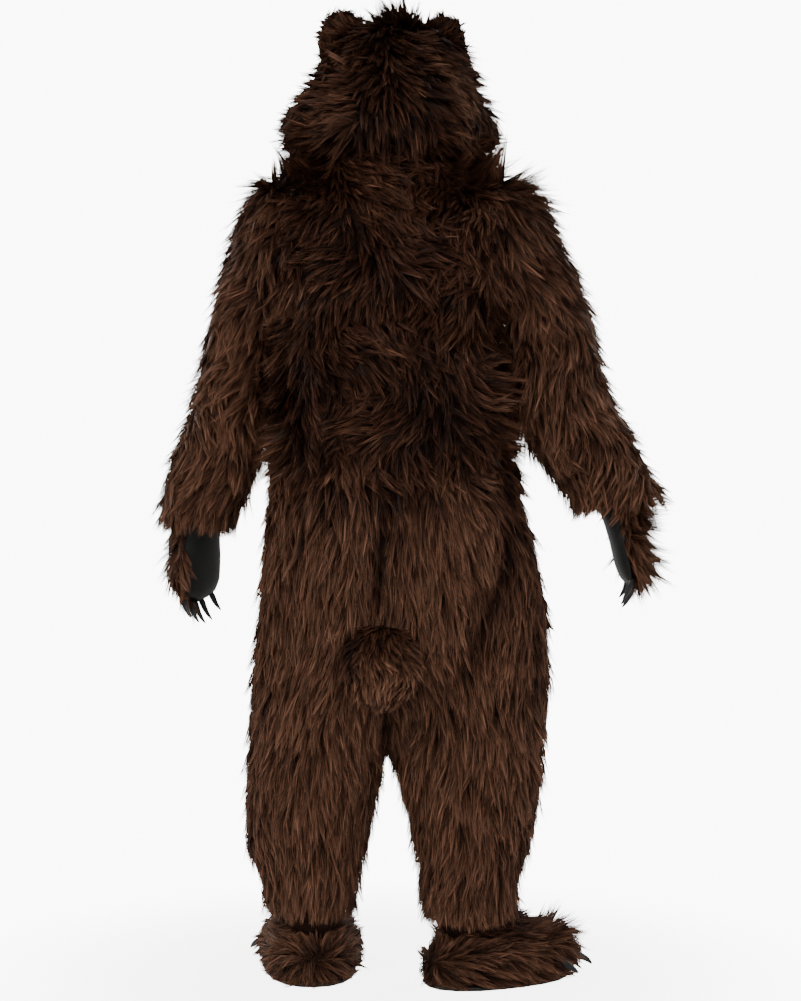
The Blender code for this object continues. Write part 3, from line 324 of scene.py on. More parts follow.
def roundness(angle, power):
    """How far a rounded box reaches at an angle, where 2 is an ellipse."""
    return 1.0 / (np.abs(np.cos(angle)) ** power + np.abs(np.sin(angle)) ** power) ** (1.0 / power)


def units(vectors):
    return vectors / np.maximum(np.linalg.norm(vectors, axis=-1, keepdims=True), 1e-12)


def grid_normals(points):
    along = np.gradient(points, axis=0)
    across = np.gradient(points, axis=1)
    return units(np.cross(across, along))


def ring_normals(points):
    """Outward normals of a grid that closes on itself, with its first and last columns made the same."""
    normals = grid_normals(points)
    normals[:, 0] = normals[:, -1] = units(normals[:, 0] + normals[:, -1])
    outwards = (normals[2] * (points[2] - points[2].mean(axis=0))).sum()
    return normals if outwards > 0 else -normals


def neckline(angle):
    """A point of the neck seam. The angle runs from the nape round to the throat."""
    angle = np.asarray(angle, float)
    depth = np.where(np.cos(angle) > 0, NECK_BACK, NECK_FRONT)
    front = np.clip((angle - math.pi / 2) / (math.pi / 2), 0, 1)
    z = NECK_HEIGHT + NAPE_RISE * np.clip(np.cos(angle), 0, 1) - NECK_FRONT_DROP * front**1.5
    return np.stack([NECK_HALF_WIDTH * np.sin(angle), -depth * np.cos(angle), z], axis=-1)


def body_grid(side, face, rows, columns):
    """Outer points of one body panel: rows from ankle to neck, columns from the middle to the side."""
    leg_rows, crotch_rows, torso_rows, armhole_rows, shoulder_rows = rows
    u = np.linspace(0, 1, columns)
    depth_column = 3 if face < 0 else 4
    width_column = 1 if side < 0 else 2
    made = []

    def leg(z):
        inner = smooth(LEGS, 1 if side < 0 else 3, z)
        outer = smooth(LEGS, 2 if side < 0 else 4, z)
        middle_y = smooth(LEGS, 5 if side < 0 else 6, z)
        depth = smooth(LEGS, 7, z)
        angle = math.pi * u
        reach = roundness(angle, 2.25)
        x = side * ((inner + outer) / 2 - (outer - inner) / 2 * np.cos(angle) * reach)
        y = middle_y + face * depth * np.sin(angle) * reach
        turn = math.radians(SHOE_PLACES[side][2]) * side
        hem = np.clip((-1.30 - z) / 0.075, 0, 1)
        away_x = (x - side * (inner + outer) / 2) / (outer - inner) * 2
        away_y = (y - middle_y) / depth
        lift = HEM_LIFT * hem * (away_x * math.sin(turn) + away_y * math.cos(turn))
        return np.stack([x, y, z + lift], axis=-1)

    def trunk(z):
        width = smooth(TRUNK, width_column, z)
        depth = smooth(TRUNK, depth_column, z)
        angle = math.pi / 2 * u
        reach = roundness(angle, 2.5)
        x = side * width * np.sin(angle) * reach
        y = face * depth * np.cos(angle) * reach
        return np.stack([x, y, np.full_like(x, z)], axis=-1)

    for z in np.linspace(LEGS[0][0], CROTCH, leg_rows + 1)[:-1]:
        made.append(leg(z))
    for share in np.linspace(0, 1, crotch_rows + 1)[:-1]:
        z = CROTCH + (SEAT - CROTCH) * share
        swing = math.sin(share * math.pi / 2)
        points = (1 - swing) * leg(z) + swing * trunk(z)
        low = (SEAT - CROTCH) * (share - (1 - math.cos(share * math.pi / 2)))
        points[:, 2] -= low * (1 - u) ** 2
        made.append(points)
    for z in np.linspace(SEAT, ARMPIT, torso_rows + 1)[:-1]:
        made.append(trunk(z))

    reach_x = ARMHOLE_X[side]
    half = (ARMHOLE_TOP - ARMHOLE_BOTTOM) / 2
    mid_z = (ARMHOLE_TOP + ARMHOLE_BOTTOM) / 2
    y_column = 1 if face < 0 else 3
    z_column = 2 if face < 0 else 4
    total = armhole_rows + shoulder_rows
    shares = [ARMHOLE_SHARE * k / armhole_rows for k in range(armhole_rows)]
    shares += [ARMHOLE_SHARE + (1 - ARMHOLE_SHARE) * k / shoulder_rows for k in range(shoulder_rows + 1)]
    for k, share in enumerate(shares):
        middle_y = smooth(UPPER, y_column, share)
        middle_z = smooth(UPPER, z_column, share)
        if k <= armhole_rows:
            turn = math.pi * k / armhole_rows
            end = (reach_x, face * ARMHOLE_DEPTH * math.sin(turn), mid_z - half * math.cos(turn))
            if k == 0:
                end = (reach_x, 0.0, ARMPIT)
            wide = math.radians(90 - 42 * min(1.0, 2.0 * k / armhole_rows))
        else:
            inward = (share - ARMHOLE_SHARE) / (1 - ARMHOLE_SHARE)
            x = reach_x + (NECK_HALF_WIDTH - reach_x) * inward
            lift = 0.010 * math.sin(math.pi * inward)
            end = (x, 0.0, ARMHOLE_TOP + (NECK_HEIGHT - ARMHOLE_TOP) * inward + lift)
            wide = math.radians(48 + 42 * inward)
        angle = wide * u
        power = 2.5 - 0.5 * share
        reach = roundness(angle, power)
        last = float(roundness(np.array(wide), power))
        across = np.sin(angle) * reach / (math.sin(wide) * last)
        back = (np.cos(angle) * reach - math.cos(wide) * last) / (1 - math.cos(wide) * last)
        x = side * end[0] * across
        y = end[1] + (middle_y - end[1]) * back
        z = end[2] + (middle_z - end[2]) * back
        if k == total:
            ring = neckline(angle if face < 0 else math.pi - angle)
            x = side * ring[:, 0]
            y = ring[:, 1]
            z = ring[:, 2]
        made.append(np.stack([x, y, z], axis=-1))
    return np.array(made)


def fold_depths(points, face):
    """How far each point of a body grid is drawn in by the folds of its face."""
    depth = np.zeros(points.shape[:-1])
    x = points[..., 0]
    z = points[..., 2]
    for fold_face, *sizes in FOLDS:
        if fold_face != face:
            continue
        x0, z0, x1, z1, width, amount = np.array(sizes) / 1000
        dx = x1 - x0
        dz = z1 - z0
        length = math.hypot(dx, dz)
        along = ((x - x0) * dx + (z - z0) * dz) / length**2
        off = ((x - x0) * dz - (z - z0) * dx) / length
        ends = np.clip(np.minimum(along, 1 - along) / 0.3 + 0.25, 0, 1)
        depth += amount * np.exp(-((off / width) ** 2)) * ends**2 * (3 - 2 * ends)
    return depth


def body_panels(rows, columns):
    """(outer, normals) for each side and face, with what two panels share at a seam made the same."""
    crotch = rows[0]
    armpit = rows[0] + rows[1] + rows[2]
    top = armpit + rows[3]
    points = {}
    for side in (-1, 1):
        for face in (-1, 1):
            points[side, face] = body_grid(side, face, rows, columns[face])

    def matched_normals():
        found = {}
        for (side, face), grid in points.items():
            found[side, face] = grid_normals(grid) * (-side * face)
        for side in (-1, 1):
            back = found[side, -1]
            front = found[side, 1]
            seam = np.ones(len(back), bool)
            seam[armpit + 1 : top] = False
            both = units(back[:, -1] + front[:, -1])
            back[seam, -1] = both[seam]
            front[seam, -1] = both[seam]
            inseam = units(back[:, 0] + front[:, 0])
            back[:crotch, 0] = inseam[:crotch]
            front[:crotch, 0] = inseam[:crotch]
        for face in (-1, 1):
            both = units(found[-1, face][:, 0] + found[1, face][:, 0])
            for side in (-1, 1):
                found[side, face][crotch:, 0] = both[crotch:]
        point = units(sum(found[key][crotch, 0] for key in found))
        for key in found:
            found[key][crotch, 0] = point
        return found

    normals = matched_normals()
    for (side, face), grid in points.items():
        depth = fold_depths(grid, face)
        near_side = np.linspace(0, 1, grid.shape[1])
        edge = np.clip((1 - near_side) / 0.16, 0, 1)
        depth = depth * edge[None, :]
        depth[armpit - 1 :, :] *= np.clip((0.8 - near_side) / 0.3, 0, 1)[None, :]
        depth[: crotch + 1, 0] = 0
        depth[-3:, :] = 0
        points[side, face] = grid - normals[side, face] * depth[..., None]
    for face in (-1, 1):
        both = (points[-1, face][crotch:, 0] + points[1, face][crotch:, 0]) / 2
        both[:, 0] = 0
        for side in (-1, 1):
            points[side, face][crotch:, 0] = both
    normals = matched_normals()
    for (side, face), grid in normals.items():
        grid[armpit + 1 : top + 1, -1] = armhole_radius(points[side, face][armpit + 1 : top + 1, -1])
        grid[armpit, -1] = (side, 0.0, 0.0)
    return points, normals


def armhole_radius(points):
    """The direction out of the armhole's middle, level with its plane."""
    away = points - np.array([0.0, 0.0, (ARMHOLE_TOP + ARMHOLE_BOTTOM) / 2])
    away[..., 0] = 0
    return units(away)


def sleeve_grid(side, rows, columns):
    """Outer points of a sleeve: rows from armhole to hem, columns once round from the underarm seam."""
    rings = SLEEVES[side]
    table = np.column_stack([np.arange(len(rings)) / (len(rings) - 1), rings])
    share = np.linspace(0, 1, rows)
    middle_y = smooth(table, 5, share)
    outer = np.stack([side * smooth(table, 1, share), middle_y, smooth(table, 2, share)], axis=-1)
    inner = np.stack([side * smooth(table, 3, share), middle_y, smooth(table, 4, share)], axis=-1)
    depth = smooth(table, 6, share)
    angle = np.linspace(0, 2 * math.pi, columns)
    power = 2.0 + 0.25 * np.clip(share / 0.25, 0, 1)
    reach = roundness(angle[None, :], power[:, None])
    middle = (outer + inner) / 2
    radial = (outer - inner) / 2
    points = middle[:, None, :] - radial[:, None, :] * (np.cos(angle)[None, :] * reach)[..., None]
    points[..., 1] -= depth[:, None] * np.sin(angle)[None, :] * reach
    return points


def sleeve_form(side, rows, columns):
    """(outer, normals) of a sleeve with its creases in it."""
    points = sleeve_grid(side, rows, columns)
    normals = ring_normals(points)
    share = np.linspace(0, 1, rows)[:, None]
    angle = np.degrees(np.linspace(0, 2 * math.pi, columns))[None, :]
    depth = np.zeros(points.shape[:-1])
    for crease_side, place, turn, high, wide, amount in SLEEVE_CREASES:
        if crease_side != side:
            continue
        away = np.abs((angle - 90 - turn + 180) % 360 - 180)
        slanted = place + 0.02 * np.sin(np.radians(angle * 2 + turn))
        depth += amount * np.exp(-(((share - slanted) / high) ** 2) - (away / wide) ** 2)
    depth *= np.clip(share / 0.25, 0, 1) * np.clip((1.0 - share) / 0.06, 0, 1)
    clear = np.clip(np.minimum(angle, 360 - angle) / 40.0, 0, 1)
    points = points - normals * (depth * clear)[..., None]
    normals = ring_normals(points)
    normals[0] = armhole_radius(points[0])
    return points, normals


def hood_turned(points):
    """The hood's form follows the head, which is turned and leans a little above the neck."""
    turn = HOOD_TURN * soft_step(points[..., 2] - NECK_HEIGHT, 0, 0.06)
    x = points[..., 0] * np.cos(turn) - points[..., 1] * np.sin(turn)
    y = points[..., 0] * np.sin(turn) + points[..., 1] * np.cos(turn)
    lean = HOOD_LEAN * np.clip(points[..., 2] - NECK_HEIGHT, 0, 1) / 0.25
    return np.stack([x + lean, y, points[..., 2]], axis=-1)


def hood_points(shares, across):
    """Hood points for shares from the face edge to the neck seam and places across from -1 to 1."""
    made = []
    for share in shares:
        known = min(share, HOOD[-1][0])
        row = [float(smooth(HOOD, k, known)) for k in range(1, 12)]
        end_angle = HOOD_END_FRONT + (HOOD_END_SIDE - HOOD_END_FRONT) * share**0.75
        end = neckline(end_angle) + np.array([0, 0, NECK_GAP])
        under_x = 0.52 * end[0] + 0.48 * row[8]
        under_y = 0.52 * end[1] + 0.48 * row[9]
        under_z = max(end[2], 0.018) + 0.013
        knots = np.array([
            (0.00, 0.0, row[0], row[1]),
            (0.25, row[2], row[3], row[4]),
            (0.50, row[5], row[6], row[7]),
            (0.76, row[8], row[9], row[10]),
            (0.90, under_x, under_y, under_z),
            (1.00, end[0], end[1], end[2]),
        ])
        mirrored = knots[:0:-1].copy()
        mirrored[:, 0] *= -1
        mirrored[:, 1] *= -1
        knots = np.concatenate([mirrored, knots])
        arch = spline(knots, across)
        if share > HOOD[-1][0]:
            blend = (share - HOOD[-1][0]) / (1 - HOOD[-1][0])
            seam = neckline(np.abs(across) * math.pi / 2) + np.array([0, 0, NECK_GAP])
            seam[:, 0] *= np.sign(across)
            under = math.sin(blend * math.pi / 2)
            drop = 1 - math.cos(blend * math.pi / 2)
            mixed = arch.copy()
            mixed[:, :2] += (seam[:, :2] - arch[:, :2]) * drop
            mixed[:, 2] += (seam[:, 2] - arch[:, 2]) * under
            arch = mixed
        made.append(arch)
    return hood_turned(np.array(made))


def hood_wall(shares, across):
    """The hood's thickness, less where the pile is caught in the neck seam."""
    back = np.clip((1 - np.asarray(shares)) / 0.16, 0, 1)[:, None]
    ends = np.clip((1 - np.abs(across)) / HOOD_TAPER, 0, 1)[None, :]
    full = soft_step(np.minimum(back, ends), 0, 1)
    return HOOD_SEAM_WALL + (HOOD_WALL - HOOD_SEAM_WALL) * full


def glove_frame(side):
    wrist, down, palm = GLOVE_PLACES[side]
    down = units(np.array(down, float))
    palm = np.array(palm, float)
    palm = units(palm - down * palm.dot(down))
    return np.array(wrist), down, palm, np.cross(down, palm)


def glove_points(side, rows, angles):
    """Outer points of a mitten. Angle 0 to 180 runs over the fur side, 180 to 360 over the palm."""
    wrist, down, palm, wide = glove_frame(side)
    share = np.linspace(0, 1, rows)
    width = smooth(GLOVE_FORM, 1, share)[:, None]
    fur = smooth(GLOVE_FORM, 2, share)[:, None]
    flat = smooth(GLOVE_FORM, 3, share)[:, None]
    angles = np.asarray(angles)[None, :]
    reach = roundness(angles, 2.3)
    along = GLOVE_LENGTH[side] * (share[:, None] - 0.05 * np.abs(np.cos(angles)) * share[:, None] ** 6)
    sideways = width * np.cos(angles) * reach
    thick = np.where(np.sin(angles) > 0, fur, flat) * np.sin(angles) * reach
    return (
        wrist
        + along[..., None] * down
        + sideways[..., None] * wide
        - thick[..., None] * palm
    )


def shoe_points(side, heights, angles):
    """Outer points of a shoe cover: rows from the sole up, angles round from the toes."""
    ankle_x, ankle_y, turn = SHOE_PLACES[side]
    turn = math.radians(turn) * side
    ahead = np.array([math.sin(turn), math.cos(turn), 0.0])
    across = np.array([math.cos(turn), -math.sin(turn), 0.0])
    heights = np.asarray(heights, float)
    heel = smooth(SHOE_FORM, 1, heights)[:, None]
    toe = smooth(SHOE_FORM, 2, heights)[:, None]
    wide = smooth(SHOE_FORM, 3, heights)[:, None]
    angles = np.asarray(angles)[None, :]
    reach = roundness(angles, 2.35)
    ease = ANKLE_EASE[side] * np.clip((heights - 0.098) / 0.022, 0, 1)[:, None]
    heel = heel - ease
    toe = toe + ease
    wide = wide + ease
    low = np.clip((0.115 - heights) / 0.04, 0, 1)[:, None]
    round_toes = (np.degrees(angles) + 180) % 360 - 180
    trough = sum(np.exp(-(((round_toes - g) / 6.0) ** 2)) for g in TOE_TROUGHS)
    reach = reach * (1 - TOE_TROUGH_DEPTH * trough * low)
    forward = (heel + toe) / 2 + (toe - heel) / 2 * np.cos(angles) * reach
    sideways = wide * np.sin(angles) * reach * (1 + 0.10 * np.cos(angles) * low)
    points = forward[..., None] * ahead + sideways[..., None] * across
    points += np.array([ankle_x, ankle_y, FLOOR])
    points[..., 2] += heights[:, None]
    return points


# Cloth and fur
BACKING = 0.002
WALL_ROOM = 0.0003
EDGE_WALL = 0.0021
EDGE_ROWS = 3
LAP = 0.0006
FACE_EDGE_DROP = 0.005
NECK_LAP = 0.005
LEAST_LIFT = 0.22
STRAND_ROOT = 0.0012
SIDE_NAMES = {-1: "left", 1: "right"}

# Coats. name: wisps per square metre, length, wisp radius, how far a wisp closes, swirl, rise of the tips and
# its spread, share of wisps that stand off and how far, long strands in a wisp, fine strands in a wisp
COATS = {
    "shaggy": (10600, 0.056, 0.0068, 0.84, 0.78, 0.001, 0.005, 0.32, 0.024, 5, 20),
    "combed": (8600, 0.072, 0.0078, 0.78, 0.18, 0.000, 0.004, 0.16, 0.020, 4, 21),
    "front": (5600, 0.070, 0.0092, 0.76, 0.28, 0.000, 0.004, 0.16, 0.020, 4, 17),
    "sleeve": (8600, 0.064, 0.0078, 0.82, 0.52, 0.001, 0.005, 0.28, 0.026, 4, 21),
    "hood": (12200, 0.048, 0.0062, 0.82, 0.66, 0.002, 0.006, 0.40, 0.026, 5, 17),
    "glove": (12000, 0.048, 0.0065, 0.76, 0.45, 0.004, 0.005, 0.36, 0.022, 6, 18),
    "shoe": (10000, 0.050, 0.0070, 0.80, 0.26, 0.002, 0.004, 0.22, 0.014, 5, 19),
    "ear": (19000, 0.036, 0.0055, 0.80, 0.80, 0.002, 0.004, 0.45, 0.014, 7, 12),
    "tail": (16000, 0.042, 0.0062, 0.80, 0.55, 0.001, 0.005, 0.30, 0.016, 5, 18),
}
LEG_TIPS = -1.376
CUFF_DROP = 0.004
GLOVE_BARE = 0.80
PALM_EDGE = -0.380
PALM_LEAD = (-0.40, 0.0, 0.0)
CLAW_ROOT = 0.009
HOOD_FLARE = (0.75, 0.060)
HOOD_SIDE_COLUMNS = 15
STRIP_COLUMNS = 13
STRIP_SHARE = 0.26
EDGE_CROWD = (5, 3, 3)
LONG_WIDTH = 0.0017
FINE_WIDTH = 0.0013
LOOSE_WIDTH = 2.2
LOOSE_SHADE = 0.16
HEM_BARE = 0.012
SHOULDER_CROWD = 6
ONTO_SLEEVE = 7
TAIL_TIPS = -0.950
SHOULDER_START = 0.09
BODY_ROWS = (16, 9, 16, 8, 6)
BODY_COLUMNS = {-1: 23, 1: 15}
SLEEVE_GRID = (34, 30)
GLOVE_ROWS = 22
GLOVE_HALF = 17
SHOE_HALF = 25
SHOE_FURRED = 16
SHOE_HEIGHTS = np.concatenate([np.linspace(0.0045, 0.0680, 8), np.linspace(0.0790, 0.156, 12)])
SEEDS = {
    "body": 100,
    "shoulder": 130,
    "sleeve": 200,
    "hood": 300,
    "face_edge": 330,
    "glove": 400,
    "shoe": 500,
    "ears_and_tail": 600,
}
LEAST_REACH = 0.35
EDGE_ROOM = 0.002
CAMERA = (0.0234, -3.6, -0.609)

# Colours, root to tip of the strands or from one tint of the cloth to the other. The strands' dark roots are
# partly painted shade deep in the pile, and their light tips partly a painted glow of light through the fur's
# ends.
LIGHT_FUR = ((0.0, (0.008, 0.0032, 0.0018)), (0.5, (0.063, 0.028, 0.016)), (1.0, (0.150, 0.074, 0.045)))
DARK_FUR = ((0.0, (0.003, 0.0010, 0.0005)), (0.5, (0.012, 0.0040, 0.0018)), (1.0, (0.042, 0.016, 0.0085)))
BACKING_TINTS = ((0.010, 0.005, 0.0035), (0.018, 0.009, 0.006))
PALM_TINTS = ((0.005, 0.0055, 0.0055), (0.009, 0.010, 0.010))
SOLE_TINTS = ((0.010, 0.009, 0.008), (0.020, 0.018, 0.016))
VINYL = ((0.004, 0.004, 0.005), (0.016, 0.015, 0.015))

# Stage and light
WHITE = (1.0, 1.0, 1.0, 1.0)
PALE = (0.90, 0.90, 0.90, 1.0)
FLOOR_HALF = 12.0
FLOOR_DROP = 0.001
FADE_START = 1.50
FADE_END = 1.75
SKY = 0.75
BACKDROP = 10.0
# name, place, target, size, power, colour
LIGHTS = (
    ("key", (-2.2, -3.4, 1.8), (0.0, 0.0, -0.5), (1.2, 1.2), 182, (1.0, 0.95, 0.90)),
    ("fill", (2.8, -2.8, 0.6), (0.0, 0.0, -0.6), (1.8, 1.8), 62, (1.0, 0.96, 0.92)),
    ("rim_left", (-2.2, 2.2, 1.2), (0.0, 0.0, -0.5), (1.2, 2.0), 90, (1.0, 0.93, 0.86)),
    ("rim_right", (2.2, 2.2, 1.2), (0.0, 0.0, -0.5), (1.2, 2.0), 90, (1.0, 0.93, 0.86)),
)
LENS = 69.2
SENSOR = 36.0

# How the nap of the back turns, at places as the camera sees them in the plane through the shoulders:
# x, z and radius in millimetres, turn in degrees towards the costume's right
TURNS = (
    (190, -400, 70, 26),
    (200, -560, 60, 18),
    (-190, -380, 80, -26),
    (-60, -330, 55, 50),
    (-25, -430, 50, -44),
    (-30, -230, 45, -38),
    (60, -120, 50, 46),
    (-100, -130, 50, -42),
    (120, -240, 55, 26),
    (40, -520, 55, 20),
    (-110, -520, 60, -18),
    (110, -620, 80, 12),
    (150, -900, 90, 14),
    (-150, -960, 90, -12),
)

# Painted sheen highlights (change of tone below 0) and painted shade (above 0), seen the same way: x, z, half
# width, half height in millimetres, change of tone
LIGHT_AND_SHADE_PATCHES = (
    (-103, -140, 22, 30, -0.30),
    (125, -140, 40, 45, -0.22),
    (-25, -300, 30, 60, -0.24),
    (-20, -450, 30, 40, -0.22),
    (-20, -560, 40, 40, -0.20),
    (20, -60, 40, 25, -0.14),
    (-140, -420, 45, 120, 0.26),
    (110, -440, 60, 120, 0.22),
    (30, -600, 36, 50, 0.42),
    (262, -640, 28, 120, 0.22),
    (190, -660, 14, 110, -0.16),
    (-230, -30, 60, 70, 0.30),
    (-120, -20, 60, 40, 0.12),
    (160, -1235, 60, 14, 0.26),
    (90, -1280, 40, 14, 0.26),
    (-150, -1180, 60, 20, 0.10),
)

# Partings, creases and deep folds, seen the same way, with painted shade along them where the change of tone
# is above 0 and a painted highlight where it is below 0: half width in millimetres, change of tone, then the
# x and z in millimetres of its points
LINES = (
    (11, 1.15, (222, -475), (229, -570), (226, -664), (221, -720), (211, -776), (189, -817), (172, -879),
     (146, -937), (116, -980)),
    (18, 0.38, (245, -560), (246, -740), (214, -840), (180, -930)),
    (8, 0.60, (283, -830), (280, -930), (270, -1050)),
    (5, 0.50, (-12, -107), (-12, -258)),
    (1.4, -1.10, (-12, -107), (-12, -258)),
    (1.8, -0.80, (-146, -190), (-143, -250)),
    (12, 1.00, (0, -560), (-8, -662), (-21, -755), (-19, -821)),
    (10, 0.80, (-6, -970), (-2, -1092)),
    (9, 0.70, (-88, -930), (-80, -972), (-20, -990), (45, -984), (58, -950)),
    (8, 0.45, (-196, -480), (-206, -300)),
    (9, 0.40, (-162, -330), (-158, -520)),
    (9, 0.35, (-100, -350), (-110, -560)),
    (9, 0.35, (55, -300), (70, -500)),
    (10, 0.45, (205, -180), (214, -460)),
    (9, 0.50, (-310, -405), (-262, -388), (-225, -415)),
    (10, 0.55, (225, -292), (300, -322), (360, -318)),
    (10, 0.55, (232, -400), (310, -428), (372, -420)),
    (9, 0.40, (370, -560), (450, -520), (510, -530)),
)
# The hood's seams and folds the same way: painted shade where the change of tone is above 0, painted
# highlights where it is below 0
HOOD_LINES = (
    (4.8, 0.85, (-47, 170), (-50.5, 116), (-62.6, 60), (-75, 29)),
    (4.6, -0.70, (-55, 140), (-59, 104), (-70, 60), (-83, 30)),
    (13, -0.55, (-72, 140), (-70, 112), (-78, 90)),
    (6, 0.40, (52, 250), (80, 190), (100, 156), (137, 100)),
    (2.8, -0.40, (104.7, 153), (142, 101)),
    (14, -0.72, (72, 242), (106, 212), (136, 168), (156, 116)),
    (7, -0.55, (86, 22), (108, 14)),
    (11, -0.30, (-50, 52), (-20, 36)),
    (22, -0.55, (-100, 262), (-60, 280)),
    (13, -0.40, (-110, 215), (-75, 205)),
)


def waves(points, size, seed):
    """Three smooth pseudo-random numbers from -1 to 1 for each point, changing over a size in metres."""
    rng = np.random.default_rng(seed)
    found = np.zeros(points.shape[:-1] + (3,))
    for _ in range(7):
        way = units(rng.normal(size=(3, 3))) * rng.uniform(0.6, 1.6, (3, 1)) * 2 * math.pi / size
        found += np.sin(points @ way.T + rng.uniform(0, 2 * math.pi, 3))
    return np.clip(found / 3.2, -1, 1)


def mesh_object(name, points, loops, sizes, materials=()):
    """A mesh object from flat arrays of corner indices and face sizes."""
    mesh = bpy.data.meshes.new(name)
    mesh.vertices.add(len(points))
    mesh.vertices.foreach_set("co", np.asarray(points, np.float32).ravel())
    mesh.loops.add(len(loops))
    mesh.loops.foreach_set("vertex_index", np.asarray(loops, np.int32))
    mesh.polygons.add(len(sizes))
    starts = np.concatenate([[0], np.cumsum(sizes)[:-1]]).astype(np.int32)
    mesh.polygons.foreach_set("loop_start", starts)
    mesh.polygons.foreach_set("loop_total", np.asarray(sizes, np.int32))
    mesh.update(calc_edges=True)
    mesh.polygons.foreach_set("use_smooth", np.ones(len(sizes), bool))
    thing = bpy.data.objects.new(name, mesh)
    bpy.context.scene.collection.objects.link(thing)
    for material in materials:
        mesh.materials.append(material)
    return thing


def cells(rows, columns):
    """The four corners of every cell of a grid, once round."""
    a = (np.arange(rows - 1)[:, None] * columns + np.arange(columns - 1)[None, :]).ravel()
    return a, a + 1, a + columns + 1, a + columns


def cloth_shell(name, outer, inner, material):
    """A closed thin shell between two grids of points."""
    rows, columns, _ = outer.shape
    points = np.concatenate([outer.reshape(-1, 3), inner.reshape(-1, 3)])
    far = rows * columns
    face = np.stack(cells(rows, columns), axis=1)
    rim = list(range(columns))
    rim += [i * columns + columns - 1 for i in range(1, rows)]
    rim += [(rows - 1) * columns + j for j in range(columns - 2, -1, -1)]
    rim += [i * columns for i in range(rows - 2, 0, -1)]
    rim = np.array(rim)
    after = np.roll(rim, -1)
    sides = np.stack([after, rim, far + rim, far + after], axis=1)
    faces = np.concatenate([face, far + face[:, ::-1], sides])
    corner = points[faces]
    volume = np.einsum("ij,ij->i", corner[:, 0], np.cross(corner[:, 1], corner[:, 2])).sum()
    volume += np.einsum("ij,ij->i", corner[:, 0], np.cross(corner[:, 2], corner[:, 3])).sum()
    if volume < 0:
        faces = faces[:, ::-1]
    return mesh_object(name, points, faces.ravel(), np.full(len(faces), 4), [material])


class Skin:
    """Outer surface of a part of the garment that strands lie along."""

    def __init__(self, points, normals, faces):
        self.points = points
        self.normals = normals
        self.faces = faces
        self.tree = BVHTree.FromPolygons(points.tolist(), faces.tolist())

    def nearest(self, points):
        """(place, outward normal) on the skin nearest to each point."""
        places = np.empty_like(points)
        at = np.empty(len(points), int)
        for k, point in enumerate(points):
            place, _, face, _ = self.tree.find_nearest(Vector(point))
            places[k] = place
            at[k] = face
        corners = self.points[self.faces[at]]
        away = 1.0 / (np.linalg.norm(corners - places[:, None], axis=2) + 1e-4)
        mixed = (self.normals[self.faces[at]] * away[..., None]).sum(axis=1)
        return places, units(mixed)


def grid_skin(*grids):
    """One skin over several grids, each given as its points and outward normals."""
    faces = []
    total = 0
    for points, _ in grids:
        rows, columns, _ = points.shape
        a, b, c, d = (corner + total for corner in cells(rows, columns))
        faces += [np.stack((a, b, c), axis=1), np.stack((a, c, d), axis=1)]
        total += rows * columns
    points, normals = (np.concatenate([grid[k].reshape(-1, 3) for grid in grids]) for k in range(2))
    return Skin(points, normals, np.concatenate(faces))


def cell_areas(points):
    a = points[1:, 1:] - points[:-1, :-1]
    b = points[1:, :-1] - points[:-1, 1:]
    return np.linalg.norm(np.cross(a, b), axis=-1) / 2


def grid_area(points):
    return float(cell_areas(points).sum())


def scattered(points, outward, depth, count, rng):
    """Random places on a grid, even by area: (place, outward normal, depth of the pile there)."""
    area = cell_areas(points)
    share = area.ravel() / area.sum()
    chosen = rng.choice(len(share), size=count, p=share)
    i = chosen // area.shape[1]
    j = chosen % area.shape[1]
    s = rng.random((count, 1))
    t = rng.random((count, 1))

    def mixed(grid):
        low = grid[i, j] * (1 - s) + grid[i, j + 1] * s
        high = grid[i + 1, j] * (1 - s) + grid[i + 1, j + 1] * s
        return low * (1 - t) + high * t

    return mixed(points), units(mixed(outward)), mixed(depth[..., None])[:, 0]


def extended(points, outward, reach):
    """A grid and its normals carried on past its last row, so that strands can hang over the edge."""
    step = units(points[-1] - points[-2]) * reach / 2
    more = np.stack([points[-1] + step, points[-1] + 2 * step])
    return np.concatenate([points, more]), np.concatenate([outward, outward[-1:], outward[-1:]])


def combed(places, normals, turn, lead):
    """The way the nap lies: down the cloth, turned by an angle, drawn towards a lead direction."""
    down = lead - normals * np.einsum("ij,ij->i", lead, normals)[:, None]
    down = units(down)
    across = np.cross(normals, down)
    return down * np.cos(turn)[:, None] + across * np.sin(turn)[:, None]


def along_path(share, start, middle, end):
    """A point at a share of the way along a path of two straight legs."""
    early = start + (middle - start) * (2 * share)
    late = middle + (end - middle) * (2 * share - 1)
    return np.where(share < 0.5, early, late)


def seen(points):
    """(x, z) where the camera sees a point in the plane through the shoulders, and if it is on the back."""
    scale = -CAMERA[1] / (points[:, 1] - CAMERA[1])
    x = CAMERA[0] + (points[:, 0] - CAMERA[0]) * scale
    z = CAMERA[2] + (points[:, 2] - CAMERA[2]) * scale
    return x, z, points[:, 1] < 0.03


def back_turn(points):
    """How far the nap of the back is brushed aside, in radians, by the places in the table."""
    x, z, behind = seen(points)
    found = np.zeros(len(points))
    for *sizes, degrees in TURNS:
        place_x, place_z, radius = np.array(sizes) / 1000
        near = np.exp(-((x - place_x) ** 2 + (z - place_z) ** 2) / radius**2)
        found += np.radians(degrees) * near * behind
    return found


def line_tone(points, table):
    """The change of tone from the partings and folds of a table: painted shade along them, and a painted
    highlight where the change is below 0.
    """
    x, z, behind = seen(points)
    place = np.stack([x, z], axis=1)
    ragged = 0.35 * waves(points, 0.05, 31)[:, 0]
    found = np.zeros(len(points))
    for half_width, change, *corners in table:
        corners = np.array(corners) / 1000
        nearest = np.full(len(points), 1e9)
        for start, end in zip(corners[:-1], corners[1:]):
            along = end - start
            share = np.clip((place - start) @ along / along.dot(along), 0, 1)
            away = np.linalg.norm(place - start - share[:, None] * along, axis=1)
            nearest = np.minimum(nearest, away)
        off = nearest / (half_width / 1000)
        found += change * np.exp(-((off + ragged * 0.5) ** 2)) * behind
    return found


